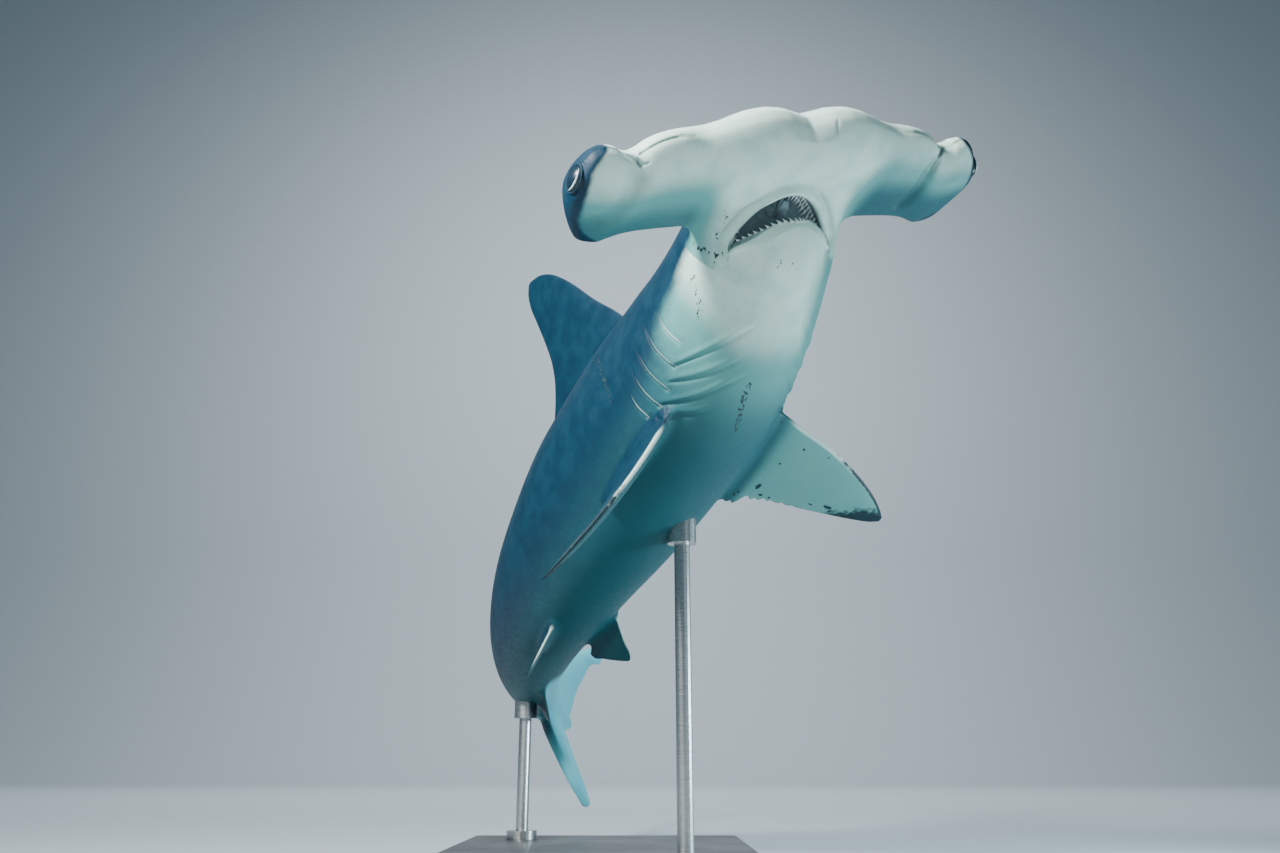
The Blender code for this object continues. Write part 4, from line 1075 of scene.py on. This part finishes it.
def dusk_of(straight):
    """Dark tips, margins and spots of the fins."""
    dusk = np.zeros(len(straight))
    for name in PECTORAL_SHADE_GREENS:
        near, x, q, behind_lead, before_trail, on_it = PAIRED_FINS[name].share(straight)
        reach = q / PECTORAL_FRONT[-1][0]
        chord = behind_lead / (behind_lead + before_trail + 0.01)
        tip = smooth_step(0.76, 1.02, reach + 0.34 * chord - 0.08)
        edge = smooth_step(0.0034, 0.0010, behind_lead) * smooth_step(0.30, 0.75, reach)
        hind = smooth_step(0.0150, 0.0010, before_trail) * smooth_step(0.45, 0.80, reach)
        mark = np.maximum(tip, np.maximum(edge, 0.85 * hind))
        if name == "pectoral_left":
            flat = np.stack([x, q], 1)
            for place, size in PECTORAL_SPOTS:
                away = np.hypot(*((flat - np.array(place)) / np.array(size)).T)
                mark = np.maximum(mark, smooth_step(1.3, 0.6, away))
        dusk[near] = np.maximum(dusk[near], mark * on_it)
    return dusk


def highlight_rim_of(straight):
    """Painted highlights: pale leading edges of the paired fins and pale rims of the gill flaps, where
    light catches them.
    """
    rim = np.zeros(len(straight))
    for name, fin in PAIRED_FINS.items():
        near, _, q, behind_lead, _, on_it = fin.share(straight)
        reach = q / fin.plate.high_end
        wide = LEFT_PECTORAL_RIM_HIGHLIGHT if name == "pectoral_left" else FIN_RIM_HIGHLIGHT
        line = smooth_step(wide, 0.3 * wide, behind_lead) * smooth_step(0.05, 0.15, reach)
        rim[near] = np.maximum(rim[near], line * smooth_step(0.95, 0.50, reach) * on_it)
    for swing, behind, _ in gill_places(*straight.T):
        window = smooth_step(-0.04, 0.12, swing) * smooth_step(0.85, 0.30, swing)
        rim = np.maximum(rim, window * bell(behind, *GILL_RIM_HIGHLIGHT))
    return rim


def crease_shade_of(straight):
    """Painted shade in grooves: the nostrils, the corners of the mouth, the fold round the upper lip and
    the wings' furrows.
    """
    crease_shade = np.zeros(len(straight))
    u, y, w = straight.T
    near = np.flatnonzero((u < 0.11) & (w < 0.004))
    part = straight[near]
    for side in (1, -1):
        for path, radius in nostril_paths(side):
            strength = min(1.0, radius / 0.0012 + 0.05)
            crease_shade[near] = np.maximum(crease_shade[near], strength * near_path(part, path, 1.6 * radius + 0.0009))
        furrow = near_path(part, on_side(LABIAL_FURROW, side), 0.0022)
        crease_shade[near] = np.maximum(crease_shade[near], 0.7 * furrow)
    flat = part[:, :2]
    off = arch_field(u[near], y[near], UPPER_LIP)
    fold = bell(off, *LIP_SHADE) * smooth_step(0.092, 0.080, u[near])
    crease_shade[near] = np.maximum(crease_shade[near], 0.30 * fold)
    crease_shade[near] = np.maximum(crease_shade[near], 0.40 * near_path(flat, LEFT_WING_FURROW, 0.0075))
    crease_shade[near] = np.maximum(crease_shade[near], 0.30 * near_path(flat, RIGHT_WING_FURROW, 0.0110))
    return crease_shade


def fleck_of(straight):
    """Where the skin is flecked and scratched."""
    fleck = np.zeros(len(straight))
    for path, width, strength in FLECKED:
        on_belly = straight[:, 2] < 0 if len(path[0]) == 2 else True
        near = near_path(straight[:, :len(path[0])], path, width)
        fleck = np.maximum(fleck, strength * near * on_belly)
    return fleck


def shade_and_light_tint_of(straight):
    """Painted shade and light: how far the belly's cream turns to green, at one, and to deep teal, at two,
    standing in for shade on the belly, the hammer's underside and the fins, and to the tail's cyan,
    standing in for light on the tail.
    """
    u, y, w = straight.T
    # Painted shade towards the rear of the hammer's underside, more on the left wing
    wing = smooth_step(0.10, 0.86, hammer_chord(u, y) + 0.14 * (y < 0)) * (u < HEAD_END)
    wing = wing * smooth_step(0.034, 0.068, np.abs(y)) * np.where(y > 0, *WING_SHADE_GREENS)
    # Painted shade on the belly behind the throat, deepening to the rear
    body = profile(BELLY_SHADE_BY_STATION, u + 0.020 * smooth_step(20.0, 70.0, flank_angle(u, y, w)))
    # Painted shade on the left side of the throat and jaw
    side = LEFT_SIDE_SHADE_GREEN * smooth_step(-0.004, -0.044, y) * smooth_step(0.086, 0.112, u)
    shade_and_light_tint = np.maximum(wing, np.maximum(body, side))
    # Painted shade on the pectoral fins
    for name, green in PECTORAL_SHADE_GREENS.items():
        near, _, q, _, _, on_it = PAIRED_FINS[name].share(straight)
        on_fin = smooth_step(0.0, 0.022, q) * on_it
        shade_and_light_tint[near] += on_fin * (green - shade_and_light_tint[near])
    # Painted light: the tail turns cyan
    return shade_and_light_tint + lit_tail_share(u, y, 0.68, 0.74) * (TAIL_LIGHT_TINT - shade_and_light_tint)


def link(name, data):
    """A new object in the scene."""
    thing = bpy.data.objects.new(name, data)
    bpy.context.scene.collection.objects.link(thing)
    return thing


def make_skin():
    points, faces = polygonise()
    mesh = mesh_from("skin", points, faces)
    refine(mesh)
    refine(mesh)
    straight = settle(points_of(mesh), 3, 0.0012)
    normal, depth = slope_of(straight)
    # The tint layer carries painted shade and the tail's painted light, the rim layer painted highlights,
    # the crease layer painted shade, and depth sets the painted shade inside the mouth
    layers = {"shade": back_shade(straight, normal), "dusk": dusk_of(straight), "fleck": fleck_of(straight),
              "shade_and_light_tint": shade_and_light_tint_of(straight), "rim": highlight_rim_of(straight), "crease_shade": crease_shade_of(straight),
              "depth": depth * TOTAL_LENGTH}
    for name, values in layers.items():
        layer = mesh.attributes.new(name, "FLOAT", "POINT")
        layer.data.foreach_set("value", values.astype(np.float32))
    layer = mesh.attributes.new("straight", "FLOAT_VECTOR", "POINT")
    layer.data.foreach_set("vector", (straight * TOTAL_LENGTH).astype(np.float32).ravel())
    mesh.vertices.foreach_set("co", bend(straight).astype(np.float32).ravel())
    mesh.update()
    mesh.shade_smooth()
    return link("skin", mesh)


class Nodes:
    """Short names for making a material's nodes."""

    def __init__(self, name):
        self.material = bpy.data.materials.new(name)
        self.material.use_nodes = True
        self.tree = self.material.node_tree
        self.shader = self.tree.nodes["Principled BSDF"]

    def put(self, socket, value):
        if isinstance(value, bpy.types.NodeSocket):
            self.tree.links.new(value, socket)
        else:
            socket.default_value = value

    def make(self, kind, out=0, settings=None, **inputs):
        node = self.tree.nodes.new("ShaderNode" + kind)
        for key, value in (settings or {}).items():
            setattr(node, key, value)
        for key, value in inputs.items():
            self.put(node.inputs[int(key[1:]) if key[0] == "i" and key[1:].isdigit() else key], value)
        return node.outputs[out]

    def layer(self, name, out="Fac"):
        node = self.tree.nodes.new("ShaderNodeAttribute")
        node.attribute_name = name
        return node.outputs[out]

    def math(self, operation, a, b=0.0):
        return self.make("Math", settings={"operation": operation}, i0=a, i1=b)

    def noise(self, where, scale, detail=3.0, rough=0.5):
        return self.make("TexNoise", Vector=where, Scale=scale, Detail=detail, Roughness=rough)

    def swing(self, noise, amount):
        """Noise that swings about nought."""
        return self.math("MULTIPLY", self.math("SUBTRACT", noise, 0.5), amount)

    def stretch(self, where, factors):
        return self.make("VectorMath", settings={"operation": "MULTIPLY"}, i0=where, i1=factors)

    def range(self, value, low, high, to_low=0.0, to_high=1.0):
        return self.make("MapRange", settings={"interpolation_type": "SMOOTHSTEP"}, i0=value, i1=low,
                         i2=high, i3=to_low, i4=to_high)

    def mix(self, share, a, b):
        node = self.tree.nodes.new("ShaderNodeMix")
        node.data_type = "RGBA"
        for index, value in ((0, share), (6, a), (7, b)):
            self.put(node.inputs[index], value)
        return node.outputs[2]

    def bump(self, height, strength, distance, normal=None):
        node = self.tree.nodes.new("ShaderNodeBump")
        node.inputs["Strength"].default_value = strength
        node.inputs["Distance"].default_value = distance
        self.put(node.inputs["Height"], height)
        if normal is not None:
            self.put(node.inputs["Normal"], normal)
        return node.outputs["Normal"]


def skin_material():
    n = Nodes("skin")
    where = n.layer("straight", "Vector")
    broad = n.noise(where, 7.0, 4.0)
    medium = n.noise(where, 26.0, 5.0, 0.55)
    fine = n.noise(where, 120.0, 4.0, 0.6)
    wave = n.math("ADD", n.swing(medium, 1.3), n.swing(fine, 0.5))
    dark = n.range(n.math("ADD", n.layer("shade"), wave), -1.0, 1.0)
    belly = n.mix(n.range(medium, 0.38, 0.66), BELLY, BELLY_MOTTLE)
    # Painted shade: the belly turns green, then deep teal
    shade_and_light_tint = n.math("ADD", n.layer("shade_and_light_tint"), n.swing(broad, 0.35))
    belly = n.mix(n.range(shade_and_light_tint, 0.0, 1.0), belly, BELLY_SHADE_GREEN)
    belly = n.mix(n.range(shade_and_light_tint, 1.0, 2.0), belly, BELLY_DEEP_SHADE_TEAL)
    # Painted light: the lit tail turns cyan
    belly = n.mix(n.range(shade_and_light_tint, 2.2, 3.0), belly, TAIL_LIT_CYAN)
    back = n.mix(n.range(medium, 0.36, 0.66), BACK, BACK_MOTTLE)
    colour = n.mix(dark, belly, back)
    # Painted highlights on the fins' leading edges and the gill flaps' rims
    colour = n.mix(n.math("MULTIPLY", n.layer("rim"), 0.85), colour, RIM_HIGHLIGHT)
    # Painted shade in the grooves
    colour = n.mix(n.math("MULTIPLY", n.layer("crease_shade"), 0.85), colour, CREASE_SHADE)
    dusk = n.range(n.math("ADD", n.layer("dusk"), n.swing(fine, 1.1)), 0.25, 0.75)
    colour = n.mix(dusk, colour, DUSK)
    grain = n.noise(n.stretch(where, FLECK_STRETCH), FLECK_SIZE, 2.0, 0.5)
    flecks = n.range(n.math("MULTIPLY", grain, n.layer("fleck")), 0.50, 0.56)
    colour = n.mix(flecks, colour, FLECK)
    # Painted shade inside the mouth, setting in with the depth below the form without openings
    inside = n.mix(n.range(broad, 0.45, 0.60), MOUTH_SHADE_DARK, MOUTH_SHADE_PALE)
    colour = n.mix(n.range(n.layer("depth"), *MOUTH_SHADE_DEPTHS), colour, inside)
    n.put(n.shader.inputs["Base Color"], colour)
    n.put(n.shader.inputs["Roughness"], n.range(fine, 0.3, 0.7, 0.46, 0.60))
    n.shader.inputs["Specular IOR Level"].default_value = 0.20
    relief = n.bump(n.noise(where, 1100.0, 2.0), 0.12, 0.0005)
    relief = n.bump(medium, 0.10, 0.0040, relief)
    relief = n.bump(n.math("MULTIPLY", flecks, -1.0), 0.5, 0.0008, relief)
    n.put(n.shader.inputs["Normal"], relief)
    return n.material


def steel_material():
    """Brushed steel, its fine lines running round the rod."""
    n = Nodes("rod_steel")
    where = n.make("TexCoord", out=3)
    brushed = n.noise(n.stretch(where, (2.0, 2.0, 60.0)), 30.0, 4.0, 0.6)
    n.put(n.shader.inputs["Base Color"], n.mix(brushed, STEEL_DARK, STEEL_PALE))
    n.shader.inputs["Metallic"].default_value = 1.0
    n.put(n.shader.inputs["Roughness"], n.range(brushed, 0.25, 0.75, 0.24, 0.40))
    n.put(n.shader.inputs["Normal"], n.bump(brushed, 0.08, 0.0004))
    return n.material


def paint_material():
    """Satin paint over board, with a faint grain and softly varying roughness."""
    n = Nodes("stand_paint")
    where = n.make("TexCoord", out=3)
    grain = n.noise(n.stretch(where, (14.0, 1.0, 14.0)), 9.0, 5.0, 0.6)
    n.put(n.shader.inputs["Base Color"], n.mix(grain, PAINT_DARK, PAINT_PALE))
    n.put(n.shader.inputs["Roughness"], n.range(n.noise(where, 6.0, 4.0), 0.3, 0.7, 0.34, 0.48))
    n.put(n.shader.inputs["Normal"], n.bump(grain, 0.12, 0.0006))
    return n.material


def mottled_material(name):
    """Fine mottle between two colours, with or without a faint relief."""
    size, detail, first, second, roughness, specular, relief = MOTTLED[name]
    n = Nodes(name)
    where = n.make("TexCoord", out=3)
    n.put(n.shader.inputs["Base Color"], n.mix(n.noise(where, size, detail), first, second))
    n.shader.inputs["Roughness"].default_value = roughness
    n.shader.inputs["Specular IOR Level"].default_value = specular
    if relief:
        n.put(n.shader.inputs["Normal"], n.bump(n.noise(where, *relief[:2]), *relief[2:]))
    return n.material


def add_object(name, points, faces, surface):
    """One object from parts: lists of point arrays and of face arrays that match them."""
    starts = np.cumsum([0] + [len(p) for p in points[:-1]]).tolist()
    corners = [tuple(i + start for i in face) for start, part in zip(starts, faces) for face in part]
    mesh = bpy.data.meshes.new(name)
    mesh.from_pydata([tuple(p) for p in np.concatenate(points)], [], corners)
    mesh.shade_smooth()
    mesh.materials.append(surface)
    piece = link(name, mesh)
    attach(piece, "root")
    return piece


def loft_faces(rings, sides, closed=False):
    """Faces between rings of points, with a cap at each end unless the loft closes on itself."""
    faces = []
    for i in range(rings if closed else rings - 1):
        for k in range(sides):
            a, b = i * sides + k, i * sides + (k + 1) % sides
            c, d = (b + sides) % (rings * sides), (a + sides) % (rings * sides)
            faces.append((a, b, c, d))
    if not closed:
        faces.append(tuple(reversed(range(sides))))
        faces.append(tuple(range((rings - 1) * sides, rings * sides)))
    return faces


def ring(middle, across, along, sides):
    """Points of an ellipse round its middle."""
    turn = np.arange(sides) * 2 * math.pi / sides
    return middle + np.cos(turn)[:, None] * across + np.sin(turn)[:, None] * along


def tooth(foot, along, up, inward, height, lean):
    """A slim cusp on a broad root, curved inward and leaning along the jaw."""
    rings = []
    for t in np.linspace(0, 1, TOOTH_RINGS):
        level = -TOOTH_ROOT + (height + TOOTH_ROOT) * t
        rise = max(level, 0.0) / height
        wide = TOOTH_HALF_WIDTH * (0.45 * (1 - rise) + 0.75 * (1 - rise) ** 4 + 0.03)
        thick = TOOTH_HALF_THICKNESS * (1 - 0.85 * rise)
        middle = foot + up * level + along * lean * height * rise ** 1.5
        middle = middle + inward * TOOTH_CURVE * height * rise ** 2
        rings.append(ring(middle, along * wide, inward * thick, TOOTH_SIDES))
    return np.concatenate(rings)


def jaw_teeth(name, lip, rows, height, upward, level_of, seed, surface):
    """Rows of teeth along a jaw's arch, the rear rows lying back."""
    draw = random.Random(seed)
    points = []
    for inset, fold, size in rows:
        ends = MOUTH_HALF_WIDTH * TEETH_REACH
        across = -ends + TOOTH_SPACING * 0.3 * draw.random()
        while across < ends:
            share = across / MOUTH_HALF_WIDTH
            slope = 2 * share * (MOUTH_CORNER - lip) / MOUTH_HALF_WIDTH
            along = np.array([slope, 1.0, 0.0]) / math.hypot(slope, 1.0)
            inward = np.array([along[1], -along[0], 0.0])
            foot = np.array([lip + (MOUTH_CORNER - lip) * share ** 2, across, 0.0]) + inset * inward
            foot[2] = level_of(foot[:1], foot[1:2])[0]
            tip = fold + draw.uniform(-0.08, 0.08)
            up = np.array([0.0, 0.0, upward]) * math.cos(tip) + inward * math.sin(tip)
            tall = height * size * (1 - 0.40 * share ** 2) * draw.uniform(0.88, 1.10)
            lean = 0.22 * np.sign(across) * min(1.0, abs(share) * 3) + draw.uniform(-0.07, 0.07)
            points.append(tooth(foot, along, up, np.cross(along, up) * upward, tall, lean))
            across += TOOTH_SPACING * draw.uniform(0.90, 1.08) / math.hypot(slope, 1.0)
    faces = [loft_faces(TOOTH_RINGS, TOOTH_SIDES)] * len(points)
    return add_object(name, [bend(p) for p in points], faces, surface)


def make_teeth():
    surface = mottled_material("tooth")
    jaw_teeth("teeth_upper", UPPER_LIP, UPPER_TOOTH_ROWS, UPPER_TOOTH_HEIGHT, -1, roof_at, 21, surface)
    jaw_teeth("teeth_lower", LOWER_LIP, LOWER_TOOTH_ROWS, LOWER_TOOTH_HEIGHT, 1, ground_at, 22, surface)


def eye_dome(reach):
    """How far the eyeball stands above the skin's level at a distance from its axis."""
    return EYE_HALF_DEPTH * np.sqrt(np.maximum(1 - (reach / EYE_RADIUS) ** 2, 0)) - EYE_SINK


def eyeball(side):
    place, axes = EYE_FRAMES[side]
    rings = []
    for angle in np.linspace(0.02, math.pi - 0.02, EYE_LEVELS):
        flat = EYE_RADIUS * 0.98 * math.sin(angle)
        middle = place + (EYE_HALF_DEPTH * math.cos(angle) - EYE_SINK) * axes[2]
        rings.append(ring(middle, flat * axes[0], flat * axes[1], EYE_SIDES))
    return bend(np.concatenate(rings)), loft_faces(EYE_LEVELS, EYE_SIDES)


def lid_ring(side):
    """The soft rim round the eye, laid on the skin."""
    place, axes = EYE_FRAMES[side]
    spokes = ring(np.zeros(3), axes[0], axes[1], EYE_SIDES)
    level = skin_along(place + LID_RADIUS * spokes, np.tile(axes[2], (EYE_SIDES, 1)), -0.016, 0.008)
    for _ in range(12):
        level = (np.roll(level, 1) + 2 * level + np.roll(level, -1)) / 4
    level = 0.5 * level + 0.5 * np.maximum(level, eye_dome(LID_RADIUS))
    rings = [ring(place + LID_RADIUS * spoke + height * axes[2], 1.8 * LID_THICKNESS * spoke,
                  1.3 * LID_THICKNESS * axes[2], LID_SIDES) for spoke, height in zip(spokes, level)]
    return bend(np.concatenate(rings)), loft_faces(EYE_SIDES, LID_SIDES, closed=True)


def crescent(side):
    """A painted highlight: a pale crescent on the lower side of the eye, where light catches the inner
    lid's rim.
    """
    place, axes = EYE_FRAMES[side]
    low, high = (math.radians(a) for a in CRESCENT_ANGLES)
    rings = []
    for share in np.linspace(0, 1, CRESCENT_RINGS):
        angle = low + (high - low) * share
        half = 0.5 * CRESCENT_WIDTH * math.sin(math.pi * (share * 0.93 + 0.035)) ** 0.6
        spoke = math.cos(angle) * axes[0] + math.sin(angle) * axes[1]
        middle = place + CRESCENT_RADIUS * spoke + eye_dome(CRESCENT_RADIUS) * axes[2]
        rings.append(ring(middle, half * spoke, half * axes[2], CRESCENT_SIDES))
    return bend(np.concatenate(rings)), loft_faces(CRESCENT_RINGS, CRESCENT_SIDES)


def make_eyes():
    """Eyeballs, each with its rim and a pale crescent painted as a highlight."""
    surface, lid, pale = [mottled_material(name) for name in ("eye", "eyelid", "eye_rim_highlight")]
    for side, word in ((1, "right"), (-1, "left")):
        points, faces = eyeball(side)
        eye = add_object(f"eyeball_{word}", [points], [faces], surface)
        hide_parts(f"eye_{word}")
        points, faces = lid_ring(side)
        add_object(f"eyelid_{word}", [points], [faces], lid)
        points, faces = crescent(side)
        add_object(f"eye_highlight_crescent_{word}", [points], [faces], pale)


def add_light(name, place, aim, size, energy, colour):
    light = bpy.data.lights.new(name, "AREA")
    light.shape = "DISK"
    light.size = size
    light.energy = energy
    light.color = colour
    lamp = link(name, light)
    lamp.location = place
    lamp.rotation_euler = (Vector(aim) - Vector(place)).to_track_quat("-Z", "Y").to_euler()


def make_stage():
    """Plain pale floor that turns up into a backdrop, soft studio light."""
    turn = np.linspace(0, math.pi / 2, 24)
    outline = [(-14.0, 0.0)] + [(9.0 + 3.0 * math.sin(a), 3.0 - 3.0 * math.cos(a)) for a in turn]
    outline.append((12.0, 17.0))
    points = [(x, y, z) for y, z in outline for x in (-22.0, 22.0)]
    faces = [(2 * i, 2 * i + 1, 2 * i + 3, 2 * i + 2) for i in range(len(outline) - 1)]
    mesh = bpy.data.meshes.new("backdrop")
    mesh.from_pydata(points, [], faces)
    mesh.shade_smooth()
    n = Nodes("backdrop")
    n.shader.inputs["Base Color"].default_value = BACKDROP
    n.shader.inputs["Roughness"].default_value = 0.8
    mesh.materials.append(n.material)
    backdrop = link("backdrop", mesh)
    world = bpy.data.worlds.new("studio")
    bpy.context.scene.world = world
    world.use_nodes = True
    world.node_tree.nodes["Background"].inputs["Color"].default_value = WORLD
    world.node_tree.nodes["Background"].inputs["Strength"].default_value = WORLD_STRENGTH
    for light in LIGHTS:
        add_light(*light)


def make_camera():
    camera = link("camera", bpy.data.cameras.new("camera"))
    camera.location = CAMERA_PLACE
    camera.rotation_euler = (math.radians(CAMERA_TILT), 0.0, 0.0)
    camera.data.lens = CAMERA_LENS
    camera.data.sensor_width = SENSOR_WIDTH
    bpy.context.scene.camera = camera


def main():
    make_camera()
    make_stage()
    skin = make_skin()
    skin.data.materials.append(skin_material())
    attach(skin, "root")
    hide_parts(*FLESH)
    make_eyes()
    make_teeth()
    steel = steel_material()
    paint = paint_material()
    for name, surface in (("stand_rod_front", steel), ("stand_rod_rear", steel), ("stand_base", paint)):
        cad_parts[name].data.materials.clear()
        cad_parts[name].data.materials.append(surface)


main()
